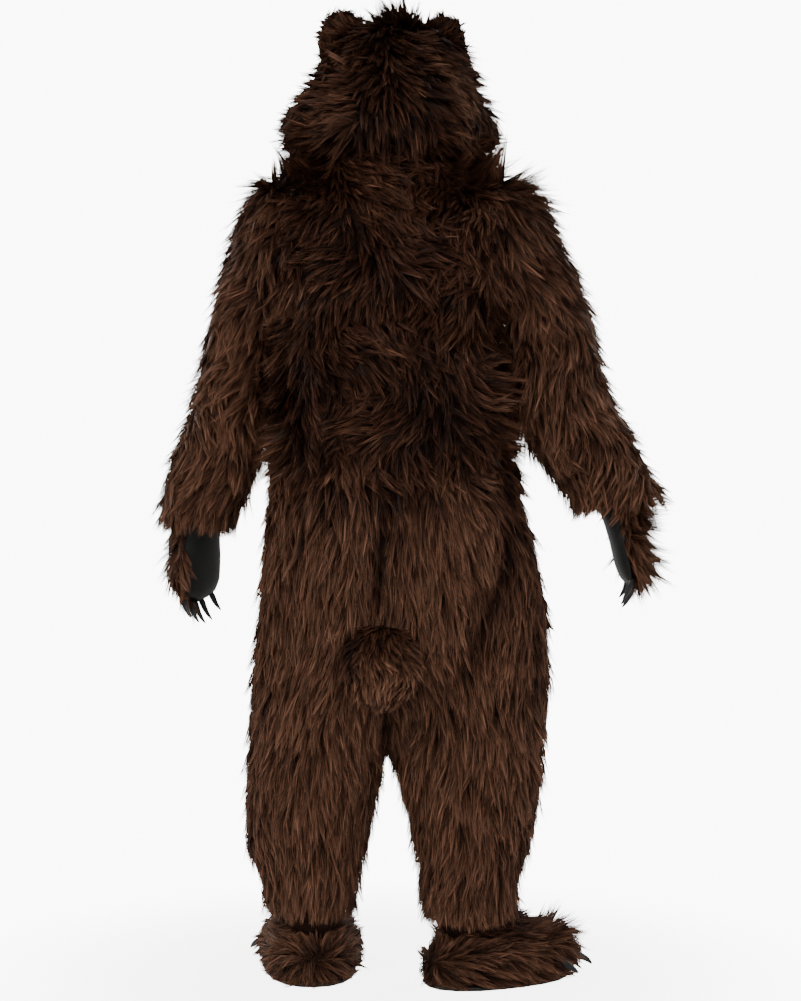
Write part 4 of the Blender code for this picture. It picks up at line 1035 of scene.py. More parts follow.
def fur_coat(name, coat, roots, skin, tone, seed, lead=(0.0, 0.0, -1.0), stand=None, lowest=None, lines=()):
    """Long pointed strands gathered in wisps, as one mesh. Long strands bend once, fine ones are straight."""
    length, radius, close, swirl = COATS[coat][1:5]
    rise_mean, rise_spread, wild, wild_rise, long_count, fine_count = COATS[coat][5:]
    rng = np.random.default_rng(seed)
    root, normal, depth = roots
    wisps = len(root)
    lead = np.broadcast_to(np.asarray(lead, float), root.shape)
    turn = swirl * (1.2 * waves(root, 0.17, 11)[:, 0] + 0.8 * waves(root, 0.06, 12)[:, 1])
    turn = turn + back_turn(root) + rng.normal(0, 0.13, wisps)
    reach = length * (1 + 0.20 * waves(root, 0.09, 13)[:, 2] + rng.normal(0, 0.10, wisps))
    reach = np.clip(reach, 0.6 * length, 1.35 * length)[:, None]
    lift = np.zeros(wisps) if stand is None else stand(root) * rng.uniform(LEAST_LIFT, 1.0, wisps)
    reach = np.sqrt(np.maximum(reach**2 - lift[:, None] ** 2, (LEAST_REACH * reach) ** 2))
    flow = combed(root, normal, turn, lead)
    if lowest is not None:
        room = (root[:, 2:] - lowest + rng.uniform(0, 0.008, (wisps, 1))) / np.clip(-flow[:, 2:], 0.3, 1)
        reach = np.clip(np.minimum(reach, room), 0.018, None)
    half, half_normal = skin.nearest(root + flow * reach * 0.5)
    onward = combed(half, half_normal, turn, lead)
    end, end_normal = skin.nearest(half + onward * reach * 0.5)
    last = combed(end, end_normal, turn, lead)
    rise = rng.normal(rise_mean, rise_spread, wisps)
    loose = rng.random(wisps) < wild
    rise = rise + np.where(loose, rng.uniform(0.3, 1.0, wisps) * wild_rise, 0.0)
    rise = rise + lift
    shade = tone(root) + 0.10 * waves(root, 0.03, 15)[:, 0] + rng.normal(0, 0.07, wisps) + LOOSE_SHADE * loose
    across = (np.cross(normal, flow), np.cross(half_normal, onward), np.cross(end_normal, last))

    points = []
    loops = []
    sizes = []
    maps = []
    tones = []
    first = 0
    rows = (("long", long_count, LONG_WIDTH, LOOSE_WIDTH), ("fine", fine_count, FINE_WIDTH, 1.5))
    for kind, count, width, bolder in rows:
        each = np.repeat(np.arange(wisps), count)
        n = len(each)
        away = radius * np.sqrt(rng.random(n))
        angle = rng.uniform(0, 2 * math.pi, n)
        ahead = (away * np.cos(angle))[:, None]
        aside = (away * np.sin(angle))[:, None]
        low = 0.80 if kind == "long" else 0.50
        share = rng.uniform(low, 1.0, n)[:, None]
        bold = (1 + (bolder - 1) * loose)[each][:, None]
        shut = np.clip(close + 0.12 * loose[each] + rng.normal(0, 0.14, n), 0.0, 1.0)[:, None]
        deep = depth[each][:, None]
        starts = [p[each] for p in (root, half, end)]
        ups = [p[each] for p in (normal, half_normal, end_normal)]
        ways = [p[each] for p in (flow, onward, last)]
        sides = [p[each] for p in across]
        buried = STRAND_ROOT if kind == "long" else deep * rng.uniform(0.0, 0.45, n)[:, None] + STRAND_ROOT
        base = starts[0] + ways[0] * ahead + sides[0] * aside - ups[0] * (deep - buried)
        tip_up = units(along_path(share, *ups))
        sunk = deep * (1 - share) * 0.9
        tip_rise = rise[each][:, None] * share**2 - sunk - rng.uniform(0.0, 0.20, n)[:, None] * deep
        tip = along_path(share, *starts) + ways[2] * ahead * 0.6 + sides[2] * aside * (1 - shut)
        tip = tip + tip_up * tip_rise + rng.normal(0, 0.0012, (n, 3))
        roll = rng.uniform(-1.0, 1.0, n)[:, None]
        wide = width * bold * rng.uniform(0.7, 1.2, n)[:, None] / 2
        edge = (sides[0] * np.cos(roll) + ups[0] * np.sin(roll)) * wide
        own = rng.random(n)
        if kind == "long":
            bend = share * 0.5
            mid = along_path(bend, *starts) + ways[1] * ahead * 0.8 + sides[1] * aside * (1 - 0.4 * shut)
            lifted = -deep * rng.uniform(0.05, 0.50, n)[:, None] + 0.25 * np.maximum(rise[each][:, None], 0)
            mid = mid + units(along_path(bend, *ups)) * lifted
            mid_edge = (sides[1] * np.cos(roll) + ups[1] * np.sin(roll)) * wide * 0.9
            made = np.stack([base - edge, base + edge, mid + mid_edge, mid - mid_edge, tip], axis=1)
            order = np.array([0, 1, 2, 3, 3, 2, 4])
            heights = np.array([0.0, 0.0, 0.5, 0.5, 0.5, 0.5, 1.0])
            sizes.append(np.tile([4, 3], n))
        else:
            made = np.stack([base - edge, base + edge, tip], axis=1)
            order = np.array([0, 1, 2])
            heights = np.array([0.1, 0.1, 1.0])
            sizes.append(np.full(n, 3))
        corners = made.shape[1]
        loops.append((first + np.arange(n)[:, None] * corners + order[None, :]).ravel())
        first += n * corners
        points.append(made.reshape(-1, 3))
        uv = np.empty((n, len(order), 2), np.float32)
        uv[..., 0] = own[:, None]
        uv[..., 1] = heights[None, :]
        maps.append(uv.reshape(-1, 2))
        # About one strand in seven is made lighter, a painted highlight
        painted_highlight = np.where(rng.random(n) < 0.14, -0.32, 0.0)
        tones.append(np.repeat(shade[each] + painted_highlight + rng.normal(0, 0.13, n), corners))
    points = np.clip(np.concatenate(points), LOWEST, HIGHEST)
    tones = np.clip(np.concatenate(tones) + line_tone(points, lines), 0, 1.6)
    made = mesh_object(name, points, np.concatenate(loops), np.concatenate(sizes), [PILE])
    made.data.uv_layers.new(name="strand").data.foreach_set("uv", np.concatenate(maps).ravel())
    layer = made.data.attributes.new("tone", "FLOAT", "POINT")
    layer.data.foreach_set("value", tones.astype(np.float32))
    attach(made, "root")
    return made


def spread_roots(coat, grid, outward, depth, seed):
    """Where the wisps of a coat grow on a grid."""
    rng = np.random.default_rng(seed + 50)
    depth = np.broadcast_to(depth, grid.shape[:2])
    return scattered(grid, outward, depth, int(grid_area(grid) * COATS[coat][0]), rng)


def kept(roots, choice):
    return tuple(part[choice] for part in roots)


def joined(*many):
    return tuple(np.concatenate(parts) for parts in zip(*many))


def body_tone(points):
    """From 0, the lighter brown of the legs, to 1, the near black brown between the shoulders."""
    x, z, behind = seen(points)
    ragged = 0.05 * waves(points, 0.07, 21)[:, 0] + 0.02 * waves(points, 0.02, 22)[:, 1]
    high = soft_step(z + ragged * 1.6, -0.63, -0.52)
    wide = 1 - soft_step(np.abs(x - 0.005) + ragged, 0.165, 0.230)
    crown = 1 - 0.25 * soft_step(z, -0.08, 0.03)
    dark = high * wide * crown * np.where(behind, 1.0, 0.45)
    side = 0.24 * soft_step(z, -0.60, -0.25)
    found = 0.16 + 0.72 * dark + 0.7 * side * (1 - dark) + 0.11 * waves(points, 0.20, 23)[:, 0]
    # Painted sheen highlights and painted shade from the patches table
    for *sizes, change in LIGHT_AND_SHADE_PATCHES:
        place_x, place_z, half_x, half_z = np.array(sizes) / 1000
        near = np.exp(-(((x + ragged * 0.3 - place_x) / half_x) ** 2) - ((z - place_z) / half_z) ** 2)
        found = found + change * near * behind
    # Painted shade at the leg hems, where they overhang the shoe covers
    hem = soft_step(-z, 1.375, 1.405)
    return found + 0.25 * hem


def sleeve_tone(points):
    """Like the back at the shoulder, lighter from the elbow down, and darker on the right sleeve as painted
    shade away from the key light.
    """
    z = points[:, 2]
    right = soft_step(points[:, 0], 0.1, 0.3)
    upper = soft_step(z, -0.36, -0.12)
    return 0.12 + 0.30 * upper + 0.08 * right + 0.22 * waves(points, 0.12, 24)[:, 0]


def hood_tone(points):
    return 0.74 + 0.28 * waves(points, 0.06, 25)[:, 0]


def strip_tone(points):
    return 1.02 + 0.14 * waves(points, 0.07, 26)[:, 0]


def shoe_tone(points):
    # The tops round the ankles are darker, painted shade under the leg hems; the right shoe is darker,
    # painted shade away from the key light
    top = soft_step(points[:, 2] - FLOOR, 0.080, 0.105)
    away = np.abs(points[:, 0] - np.where(points[:, 0] > 0.03, SHOE_PLACES[1][0], SHOE_PLACES[-1][0]))
    ankle = 1 - soft_step(away, 0.06, 0.09)
    right = 0.16 * (points[:, 0] > 0.03)
    return 0.26 + right + 0.18 * waves(points, 0.07, 27)[:, 0] + 0.60 * top * ankle


def glove_tone(points):
    return 0.24 + 0.18 * waves(points, 0.05, 29)[:, 0]


def tail_tone(points):
    # Painted shade on the tail's top; it is also darker on its left side
    left = 1 - soft_step(points[:, 0], -0.062, -0.040)
    top = soft_step(points[:, 2], -0.90, -0.85)
    return 0.04 + 0.70 * top + 0.55 * left + 0.12 * waves(points, 0.05, 28)[:, 0]


def body_stand(points):
    """How much further the pile stands off where it is crowded: over the shoulders and under the arms."""
    x = np.abs(points[:, 0])
    z = points[:, 2]
    shoulder = soft_step(z, -0.05, -0.01) * soft_step(x, 0.08, 0.12)
    side = soft_step(x, 0.16, 0.19) * soft_step(z, -0.56, -0.48) * (1 - soft_step(z, -0.22, -0.16))
    right = points[:, 0] > 0
    return (0.066 + 0.012 * right) * shoulder + 0.046 * side


def sleeve_stand(points):
    x = np.abs(points[:, 0])
    z = points[:, 2]
    right = points[:, 0] > 0
    shoulder = soft_step(z, -0.07, -0.02) * np.where(right, 1.2, 1 - 0.5 * soft_step(x, 0.23, 0.26))
    inner = 1 - soft_step(x, 0.25, 0.30)
    side = inner * soft_step(z, -0.54, -0.46) * (1 - soft_step(z, -0.26, -0.20))
    cuff = 1 - soft_step(z, -0.62, -0.56)
    return 0.046 * shoulder + 0.040 * side + 0.008 * cuff


def hood_stand(points):
    low = 1 - soft_step(points[:, 2], 0.040, 0.080)
    tuft = np.exp(-(((points[:, 0] - 0.028) / 0.035) ** 2)) * soft_step(points[:, 2], 0.22, 0.27)
    return 0.004 + 0.046 * low + 0.044 * tuft


def glove_stand(points):
    return np.where(points[:, 0] > 0, 0.054, 0.016)


def shoe_stand(points):
    """The right toe and heel are puffed up, and the pile round the claws is a little."""
    x, y, z = points.T
    right = x > 0.03
    height = z - FLOOR
    away = np.abs(x - np.where(right, SHOE_PLACES[1][0], SHOE_PLACES[-1][0]))
    toe = soft_step(away, 0.09, 0.13) * soft_step(height, 0.070, 0.084) * right
    heel = (1 - soft_step(x, 0.10, 0.14)) * soft_step(height, 0.050, 0.080) * right
    low = 1 - soft_step(height, 0.06, 0.07)
    front = np.where(right, soft_step(x, 0.29, 0.33), soft_step(y, 0.11, 0.15)) * low
    return 0.002 + 0.054 * toe + 0.036 * heel + 0.008 * front


class Graph:
    """The nodes of a material or a world, where a socket is given a value or another node's socket."""

    def __init__(self, owner):
        owner.use_nodes = True
        self.nodes = owner.node_tree.nodes
        self.links = owner.node_tree.links

    def put(self, node, sockets):
        for name, value in sockets.items():
            if isinstance(value, bpy.types.NodeSocket):
                self.links.new(value, node.inputs[name])
            else:
                node.inputs[name].default_value = value

    def add(self, kind, sockets=None, **settings):
        node = self.nodes.new("ShaderNode" + kind)
        for name, value in settings.items():
            setattr(node, name, value)
        self.put(node, sockets or {})
        return node.outputs

    def ramp(self, value, stops):
        colours = self.add("ValToRGB", {"Fac": value})
        elements = self.nodes[-1].color_ramp.elements
        while len(elements) < len(stops):
            elements.new(0.5)
        for element, (place, colour) in zip(elements, stops):
            element.position = place
            element.color = (*colour, 1.0)
        return colours["Color"]


def new_material(name):
    made = bpy.data.materials.new(name)
    graph = Graph(made)
    return made, graph, graph.nodes["Principled BSDF"]


def fur_material(name):
    """Two browns, root to tip, mixed by tone. Each strand has its own shade, and deep folds are darker: tone
    above 1 is painted shade.
    """
    made, graph, shader = new_material(name)
    strand = graph.add("SeparateXYZ", {0: graph.add("UVMap", uv_map="strand")["UV"]})
    tone = graph.add("Attribute", attribute_name="tone")["Fac"]
    light = graph.ramp(strand["Y"], LIGHT_FUR)
    dark = graph.ramp(strand["Y"], DARK_FUR)
    mixed = graph.add("Mix", {"Factor": tone, 6: light, 7: dark}, data_type="RGBA")[2]
    vary = graph.add("MapRange", {"Value": strand["X"], "To Min": 0.34, "To Max": 1.66})["Result"]
    # Tone above 1 darkens the strand's colour further: painted shade in deep folds and creases
    deep = {"Value": tone, "From Min": 1.0, "From Max": 1.4, "To Min": 1.0, "To Max": 0.50}
    shadow = graph.add("MapRange", deep)["Result"]
    value = graph.add("Math", {0: vary, 1: shadow}, operation="MULTIPLY")["Value"]
    colour = graph.add("HueSaturation", {"Value": value, "Color": mixed})["Color"]
    graph.put(shader, {"Base Color": colour, "Roughness": 0.50, "Specular IOR Level": 0.06})
    return made


def cloth_material(name, colours, scale, roughness, bump, sheen=0.2, specular=0.12):
    """Knitted or woven cloth: fine loops in the bump, and two colours that drift."""
    made, graph, shader = new_material(name)
    place = graph.add("TexCoord")["Object"]
    loops = graph.add("TexWave", {"Vector": place, "Scale": scale, "Distortion": 2.5, "Detail": 2.0})["Fac"]
    noise = graph.add("TexNoise", {"Vector": place, "Scale": 14.0, "Detail": 6.0})["Fac"]
    lump = graph.add("Bump", {"Strength": bump, "Distance": 0.0006, "Height": loops})["Normal"]
    graph.put(shader, {"Base Color": graph.ramp(noise, zip_stops(colours, 0.3, 0.75)), "Normal": lump})
    graph.put(shader, {"Roughness": roughness, "Specular IOR Level": specular, "Sheen Weight": sheen})
    return made


def zip_stops(colours, *places):
    return list(zip(places, colours))


def claw_material(name):
    """Glossy black vinyl, a little scuffed along the claw."""
    made, graph, shader = new_material(name)
    place = graph.add("TexCoord")["Object"]
    noise = graph.add("TexNoise", {"Vector": place, "Scale": 120.0, "Detail": 5.0})["Fac"]
    colour = graph.ramp(noise, zip_stops(VINYL, 0.35, 0.8))
    rough = graph.add("MapRange", {"Value": noise, "To Min": 0.22, "To Max": 0.42})["Result"]
    graph.put(shader, {"Base Color": colour, "Roughness": rough, "Specular IOR Level": 0.22})
    return made


def declare(piece, node):
    """The shell stands for its CAD node: it rides the root body and the node is hidden."""
    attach(piece, "root")
    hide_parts(node)


def dress(name, coat, faces, roots, skin, tone, seed, slot="bear_fur", node=None, **ways):
    """A backing between its two faces, with its coat, both of which stand for one CAD node."""
    cloth = cloth_shell("cloth_" + name, *faces, KNIT)
    fur = fur_coat("fur_" + name, coat, roots, skin, tone, seed, **ways)
    declare(cloth, node or name)


def layers(outer, outward, depth):
    """(upper face, lower face) of the backing cloth, which lies under the pile and laps its neighbours."""
    depth = np.broadcast_to(depth, outer.shape[:2])[..., None]
    cover = outer - outward * (depth - BACKING)
    inner = outer - outward * depth
    for grid in (inner, cover):
        grid[:, 0] -= LAP * units(grid[:, 1] - grid[:, 0])
        grid[:, -1] -= LAP * units(grid[:, -2] - grid[:, -1])
    return cover, inner


def dress_body():
    rows = BODY_ROWS
    waist = rows[0] + rows[1] + rows[2] // 2
    points, normals = body_panels(rows, BODY_COLUMNS)
    onward = [shoe_form(side) for side in (-1, 1)]
    onward += [tuple(grid[:ONTO_SLEEVE] for grid in sleeve_form(side, *SLEEVE_GRID)) for side in (-1, 1)]
    skin = grid_skin(*((points[key], normals[key]) for key in points), *onward)
    near_neck = np.clip(np.arange(sum(rows), -1, -1) / EDGE_ROWS, 0, 1)
    depth = (EDGE_WALL + (BODY_WALL - WALL_ROOM - EDGE_WALL) * near_neck)[:, None]
    for number, (side, face) in enumerate(points):
        outer = points[side, face]
        outward = normals[side, face]
        wide_depth = np.broadcast_to(depth, outer.shape[:2])
        cover, inner = layers(outer, outward, wide_depth)
        for grid in (inner, cover):
            grid[rows[0] :, 0, 0] = -side * LAP / 2
            grid[-1] += NECK_LAP * units(grid[-1] - grid[-2])
        grids = (outer, outward, wide_depth)
        parts = (("leg", slice(0, waist + 1)), ("torso", slice(waist, None)))
        for k, (kind, part) in enumerate(parts):
            coat = "front" if face > 0 else "combed" if kind == "leg" else "shaggy"
            seed = SEEDS["body"] + 2 * number + k
            roots = spread_roots(coat, *(grid[part] for grid in grids), seed)
            roots = kept(roots, roots[0][:, 2] > LEG_TIPS + HEM_BARE)
            if kind == "torso":
                for extra in range(2):
                    crowd = SEEDS["shoulder"] + 10 * extra + number
                    more = spread_roots(coat, *(grid[-SHOULDER_CROWD:] for grid in grids), crowd)
                    roots = joined(roots, kept(more, np.abs(more[0][:, 0]) > SHOULDER_START))
            name = "%s_%s_%s" % (kind, "back" if face < 0 else "front", SIDE_NAMES[side])
            slot = "dark_fur" if kind == "torso" and face < 0 else "bear_fur"
            ways = {"stand": body_stand, "lowest": LEG_TIPS, "lines": LINES}
            dress(name, coat, (cover[part], inner[part]), roots, skin, body_tone, seed, slot, **ways)


def dress_sleeves():
    for side in (-1, 1):
        outer, outward = sleeve_form(side, *SLEEVE_GRID)
        skin = grid_skin(extended(outer, outward, 0.07))
        depth = SLEEVE_WALL - WALL_ROOM
        seed = SEEDS["sleeve"] + side
        roots = spread_roots("sleeve", outer, outward, depth, seed)
        axis = units(np.array([side * 0.30, 0.05, -1.0]))
        lowest = outer[-1, :, 2].min() - CUFF_DROP
        ways = {"lead": axis, "stand": sleeve_stand, "lowest": lowest, "lines": LINES}
        name = "sleeve_" + SIDE_NAMES[side]
        dress(name, "sleeve", layers(outer, outward, depth), roots, skin, sleeve_tone, seed, **ways)


def dress_hood():
    shares = np.concatenate([np.linspace(0, 0.88, 21), np.linspace(0.88, 1, 7)[1:]])
    strip = np.linspace(-STRIP_SHARE, STRIP_SHARE, STRIP_COLUMNS)
    left = np.linspace(-1, -STRIP_SHARE, HOOD_SIDE_COLUMNS)
    across = np.concatenate([left[:-1], strip, -left[::-1][1:]])
    outer = hood_points(shares, across)
    outward = -grid_normals(outer)
    thinner = np.clip(np.arange(len(shares)) / EDGE_ROWS, 0, 1)[:, None]
    depth = EDGE_WALL + (hood_wall(shares, across) - WALL_ROOM - EDGE_WALL) * thinner
    face_edge = outer[0]
    way = units(face_edge * [1, 1, 0]) * HOOD_FLARE[0]
    way = units(way - np.array([0.0, 0.0, 1.0]))
    flared = np.stack([face_edge, face_edge + way * HOOD_FLARE[1] / 2, face_edge + way * HOOD_FLARE[1]])
    flared_normals = grid_normals(flared)
    if (flared_normals[1] * way * [1, 1, -1]).sum() < 0:
        flared_normals = -flared_normals
    skin = grid_skin((outer, outward), (flared, flared_normals))
    first = HOOD_SIDE_COLUMNS - 1
    last = first + STRIP_COLUMNS - 1
    cuts = (
        ("hood_side_left", slice(0, first + 1), hood_tone),
        ("hood_centre", slice(first, last + 1), strip_tone),
        ("hood_side_right", slice(last, None), hood_tone),
    )
    for number, (label, part, tone) in enumerate(cuts):
        grids = (outer[:, part], outward[:, part], depth[:, part])
        cover, inner = layers(*grids)
        for grid in (cover, inner):
            grid[0, :, 2] -= FACE_EDGE_DROP
        seed = SEEDS["hood"] + number
        coats = [spread_roots("hood", *grids, seed)]
        for k, count in enumerate(EDGE_CROWD):
            crowd = SEEDS["face_edge"] + 10 * k + number
            coats.append(spread_roots("hood", *(grid[:count] for grid in grids), crowd))
        ways = {"lead": (0.9 * (number - 1), -0.1, -0.6), "stand": hood_stand, "lines": HOOD_LINES}
        slot = "dark_fur" if number == 1 else "bear_fur"
        dress(label, "hood", (cover, inner), joined(*coats), skin, tone, seed, slot, **ways)


def dress_gloves():
    half_round = np.linspace(0, math.pi, GLOVE_HALF)
    angles = np.concatenate([half_round, np.linspace(math.pi, 2 * math.pi, GLOVE_HALF)[1:]])
    walls = smooth(GLOVE_WALLS, 1, np.linspace(0, 1, GLOVE_ROWS))[:, None]
    for side in (-1, 1):
        outer = glove_points(side, GLOVE_ROWS, angles)
        normals = ring_normals(outer)
        wrist, down, palm, _ = glove_frame(side)
        for column in (0, GLOVE_HALF - 1, -1):
            normals[:, column] -= palm * normals[:, column].dot(palm)[:, None]
            normals[:, column] = units(normals[:, column])
        skin = grid_skin(extended(outer, normals, 0.03))
        fur_side = (outer[:, :GLOVE_HALF], normals[:, :GLOVE_HALF])
        palm_side = (outer[:, GLOVE_HALF - 1 :], normals[:, GLOVE_HALF - 1 :])
        high, low = layers(*fur_side, walls - WALL_ROOM)
        over, under = layers(*palm_side, PALM_WALL)
        for grid, sense in ((low, 1.0), (high, 1.0), (under, -1.0), (over, -1.0)):
            off = -(grid[:, 1:-1] - wrist).dot(palm) * sense
            grid[:, 1:-1] -= palm * (sense * np.maximum(0, GLOVE_CLEAR - off))[..., None]
        seed = SEEDS["glove"] + side
        roots = spread_roots("glove", *fur_side, walls, seed)
        lead = down
        if side < 0:
            from_wrist = roots[0] - wrist
            far_down = from_wrist.dot(down) > GLOVE_BARE * GLOVE_LENGTH[side]
            roots = kept(roots, ~far_down | (from_wrist[:, 0] < -0.012))
            over_palm = spread_roots("glove", *palm_side, PALM_WALL, seed + 20)
            over_palm = kept(over_palm, over_palm[0][:, 0] < PALM_EDGE)
            leads = ((down, roots), (down + PALM_LEAD, over_palm))
            lead = np.concatenate([np.tile(way, (len(grown[0]), 1)) for way, grown in leads])
            roots = joined(roots, over_palm)
        label = SIDE_NAMES[side]
        ways = {"node": "glove_fur_" + label, "lead": lead, "stand": glove_stand}
        dress("glove_" + label, "glove", (high, low), roots, skin, glove_tone, seed, **ways)
        face = cloth_shell("palm_" + label, over, under, BLACK_KNIT)
        declare(face, "glove_palm_" + label)


def shoe_form(side):
    """(outer points, outward normals) of a shoe cover, rows from the sole up, columns round from the toe."""
    half = math.pi * np.linspace(0, 1, SHOE_HALF) ** 1.35
    angles = np.concatenate([half, 2 * math.pi - half[::-1][1:]])
    outer = shoe_points(side, SHOE_HEIGHTS, angles)
    normals = ring_normals(outer)
    normals[0, :, 2] = 0
    normals[0] = units(normals[0])
    return outer, normals


def dress_shoes():
    walls = smooth(SHOE_WALLS, 1, SHOE_HEIGHTS)[:, None] - WALL_ROOM
    for side in (-1, 1):
        outer, normals = shoe_form(side)
        skin = grid_skin((outer, normals))
        turned = math.radians(SHOE_PLACES[side][2]) * side
        ways = {"lead": (math.sin(turned), math.cos(turned), -0.65), "stand": shoe_stand}
        kinds = ("outer", "inner") if side > 0 else ("inner", "outer")
        halves = (slice(0, SHOE_HALF), slice(SHOE_HALF - 1, None))
        for number, (kind, part) in enumerate(zip(kinds, halves)):
            faces = layers(outer[:, part], normals[:, part], walls)
            seed = SEEDS["shoe"] + 10 * number + side
            furred = slice(None, SHOE_FURRED)
            roots = spread_roots("shoe", outer[furred, part], normals[furred, part], walls[furred], seed)
            name = "shoe_%s_%s" % (kind, SIDE_NAMES[side])
            dress(name, "shoe", faces, roots, skin, shoe_tone, seed, **ways)


def node_copy(name, source, material, levels, inwards=0.0):
    """A smoother copy of a CAD node that stands for it, drawn in where a coat covers it."""
    thing = bpy.data.objects.new(name, frame["nodes"][source].data.copy())
    bpy.context.scene.collection.objects.link(thing)
    thing.data.materials.clear()
    thing.data.materials.append(material)
    weld = thing.modifiers.new("weld", "WELD")
    weld.merge_threshold = 1e-5
    finer = thing.modifiers.new("finer", "SUBSURF")
    finer.levels = levels
    finer.render_levels = levels
    graph = bpy.context.evaluated_depsgraph_get()
    mesh = bpy.data.meshes.new_from_object(thing.evaluated_get(graph))
    thing.modifiers.clear()
    thing.data = mesh
    mesh.polygons.foreach_set("use_smooth", np.ones(len(mesh.polygons), bool))
    mesh.calc_loop_triangles()
    corners = np.array([v.co for v in mesh.vertices], float)
    normals = np.array([v.normal for v in mesh.vertices], float)
    faces = np.array([t.vertices for t in mesh.loop_triangles])
    if inwards:
        mesh.vertices.foreach_set("co", (corners - normals * inwards).astype(np.float32).ravel())
        mesh.update()
    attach(thing, "root")
    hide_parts(source)
    return thing, (corners, normals, faces)


def mesh_roots(coat, skin, depth, seed):
    """Where the wisps of a coat grow on a skin's triangles."""
    rng = np.random.default_rng(seed + 50)
    a, b, c = (skin.points[skin.faces[:, k]] for k in range(3))
    area = np.linalg.norm(np.cross(b - a, c - a), axis=1) / 2
    chosen = rng.choice(len(area), size=max(8, int(area.sum() * COATS[coat][0])), p=area / area.sum())
    s = np.sqrt(rng.random(len(chosen)))[:, None]
    t = rng.random(len(chosen))[:, None]
    places = a[chosen] * (1 - s) + b[chosen] * s * (1 - t) + c[chosen] * s * t
    weights = np.concatenate([1 - s, s * (1 - t), s * t], axis=1)
    outward = units((skin.normals[skin.faces[chosen]] * weights[..., None]).sum(axis=1))
    return places, outward, np.full(len(places), depth)


def dress_ears_and_tail():
    rows = (("ear_left", "ear", 0.004), ("ear_right", "ear", 0.004), ("tail", "tail", 0.012))
    for number, (label, coat, depth) in enumerate(rows):
        thing, form = node_copy("cloth_" + label, label, KNIT, 1, depth)
        skin = Skin(*form)
        lead = (0.0, 0.0, -1.0) if coat == "tail" else (0.0, -0.25, 1.0)
        tone = tail_tone if coat == "tail" else strip_tone if label == "ear_right" else hood_tone
        seed = SEEDS["ears_and_tail"] + number
        lowest = TAIL_TIPS if coat == "tail" else None
        roots = mesh_roots(coat, skin, depth, seed)
        lines = () if coat == "tail" else HOOD_LINES
        fur = fur_coat("fur_" + label, coat, roots, skin, tone, seed, lead, lowest=lowest, lines=lines)


def dress_claws():
    for label in sorted(frame["nodes"]):
        if "claw" in label:
            horn, (corners, _, _) = node_copy("horn_" + label, label, HORN, 2)
            middle = corners.mean(axis=0)
            axis = np.linalg.svd(corners - middle)[2][0]
            along = (corners - middle) @ axis
            wide = np.linalg.norm(corners - middle - along[:, None] * axis, axis=1)
            low_end = along < np.quantile(along, 0.2)
            high_end = along > np.quantile(along, 0.8)
            if wide[low_end].mean() < wide[high_end].mean():
                along, axis = -along, -axis
            reach = 1 - soft_step(along, along.min(), along.min() + 0.25 * np.ptp(along))
            moved = corners - CLAW_ROOT * reach[:, None] * axis
            horn.data.vertices.foreach_set("co", moved.astype(np.float32).ravel())
            horn.data.update()


def dress_soles():
    for label in ("shoe_sole_left", "shoe_sole_right"):
        node = frame["nodes"][label]
        node.data.materials.clear()
        node.data.materials.append(GRIP)


def build_stage():
    """A pale floor that fades into the backdrop's white away from the costume."""
    made, graph, shader = new_material("pale_floor")
    graph.put(shader, {"Base Color": PALE, "Roughness": 0.95, "Specular IOR Level": 0.1})
    glow = graph.add("Emission", {"Strength": BACKDROP})["Emission"]
    place = graph.add("TexCoord")["Object"]
    away = graph.add("VectorMath", {0: place}, operation="LENGTH")["Value"]
    sizes = {"Value": away, "From Min": FADE_START, "From Max": FADE_END, "To Min": 0.55}
    fade = graph.add("MapRange", sizes, interpolation_type="SMOOTHSTEP")["Result"]
    direct = graph.add("LightPath")["Is Camera Ray"]
    both = graph.add("Math", {0: fade, 1: direct}, operation="MULTIPLY")["Value"]
    mix = graph.add("MixShader", {"Fac": both, 1: shader.outputs["BSDF"], 2: glow})["Shader"]
    graph.put(graph.nodes["Material Output"], {"Surface": mix})
    square = ((-1, -1), (1, -1), (1, 1), (-1, 1))
    corners = [(x * FLOOR_HALF, y * FLOOR_HALF, FLOOR - FLOOR_DROP) for x, y in square]
    mesh_object("floor", corners, [0, 1, 2, 3], [4], [made])


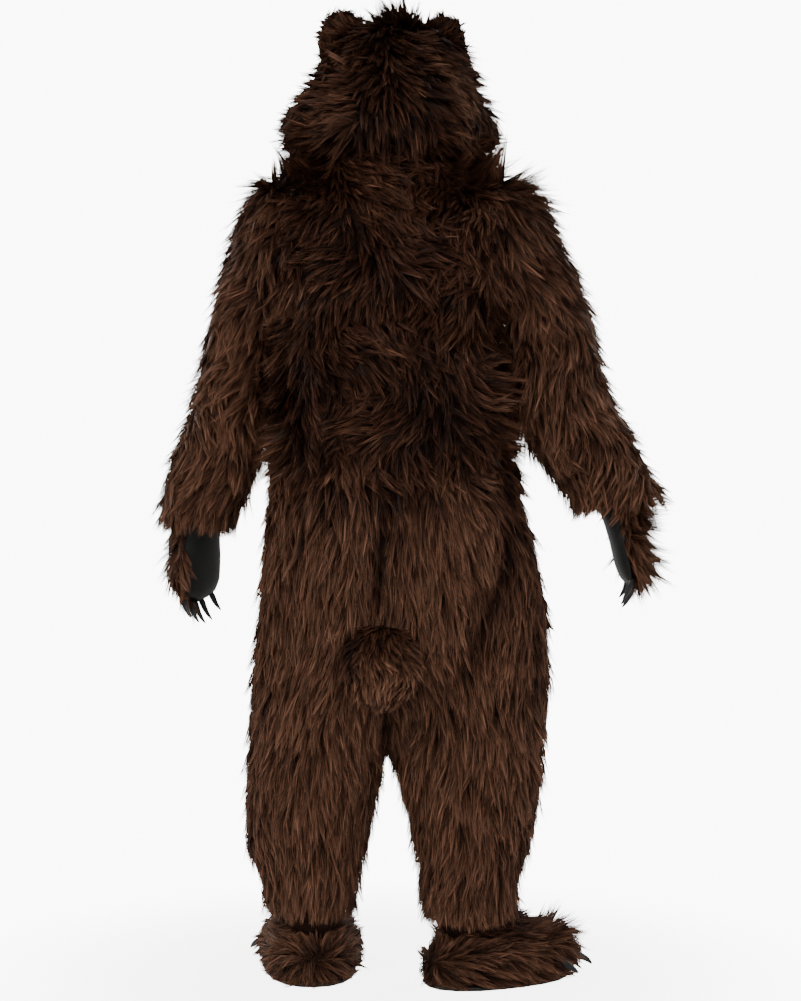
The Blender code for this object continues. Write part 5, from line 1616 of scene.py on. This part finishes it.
def area_light(name, place, target, size, power, colour):
    lamp = bpy.data.lights.new(name, "AREA")
    lamp.shape = "RECTANGLE"
    lamp.size, lamp.size_y = size
    lamp.energy = power
    lamp.color = colour
    thing = bpy.data.objects.new(name, lamp)
    thing.location = place
    thing.rotation_mode = "QUATERNION"
    thing.rotation_quaternion = (Vector(target) - Vector(place)).to_track_quat("-Z", "Y")
    bpy.context.scene.collection.objects.link(thing)


def build_light():
    world = bpy.data.worlds.new("studio")
    bpy.context.scene.world = world
    graph = Graph(world)
    sky = graph.nodes["Background"]
    graph.put(sky, {"Color": WHITE, "Strength": SKY})
    white = graph.add("Background", {"Color": WHITE, "Strength": BACKDROP})["Background"]
    direct = graph.add("LightPath")["Is Camera Ray"]
    mix = graph.add("MixShader", {"Fac": direct, 1: sky.outputs["Background"], 2: white})["Shader"]
    graph.put(graph.nodes["World Output"], {"Surface": mix})
    for row in LIGHTS:
        area_light(*row)


def build_camera():
    lens = bpy.data.cameras.new("camera")
    lens.lens = LENS
    lens.sensor_width = SENSOR
    camera = bpy.data.objects.new("camera", lens)
    camera.location = CAMERA
    camera.rotation_euler = (math.pi / 2, 0.0, 0.0)
    bpy.context.scene.collection.objects.link(camera)
    bpy.context.scene.camera = camera


for thing in list(bpy.data.objects):
    bpy.data.objects.remove(thing, do_unlink=True)
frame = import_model()
cad_box = [list(corner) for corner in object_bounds()]
LOWEST, HIGHEST = (np.array(corner) for corner in cad_box)
ROOM = 0.03 * (HIGHEST - LOWEST) + 0.010 - EDGE_ROOM
LOWEST, HIGHEST = LOWEST - ROOM, HIGHEST + ROOM
LOWEST[2] = FLOOR + 0.0006
PILE = fur_material("fur_pile")
KNIT = cloth_material("fur_backing", BACKING_TINTS, 260.0, 0.9, 0.6, 0.0, 0.02)
BLACK_KNIT = cloth_material("palm_knit", PALM_TINTS, 420.0, 0.50, 0.35, 0.0)
GRIP = cloth_material("grip_cloth", SOLE_TINTS, 180.0, 0.8, 0.8)
HORN = claw_material("claw_vinyl")
dress_body()
dress_sleeves()
dress_hood()
dress_gloves()
dress_shoes()
dress_ears_and_tail()
dress_claws()
dress_soles()
build_stage()
build_light()
build_camera()
bpy.context.view_layer.update()
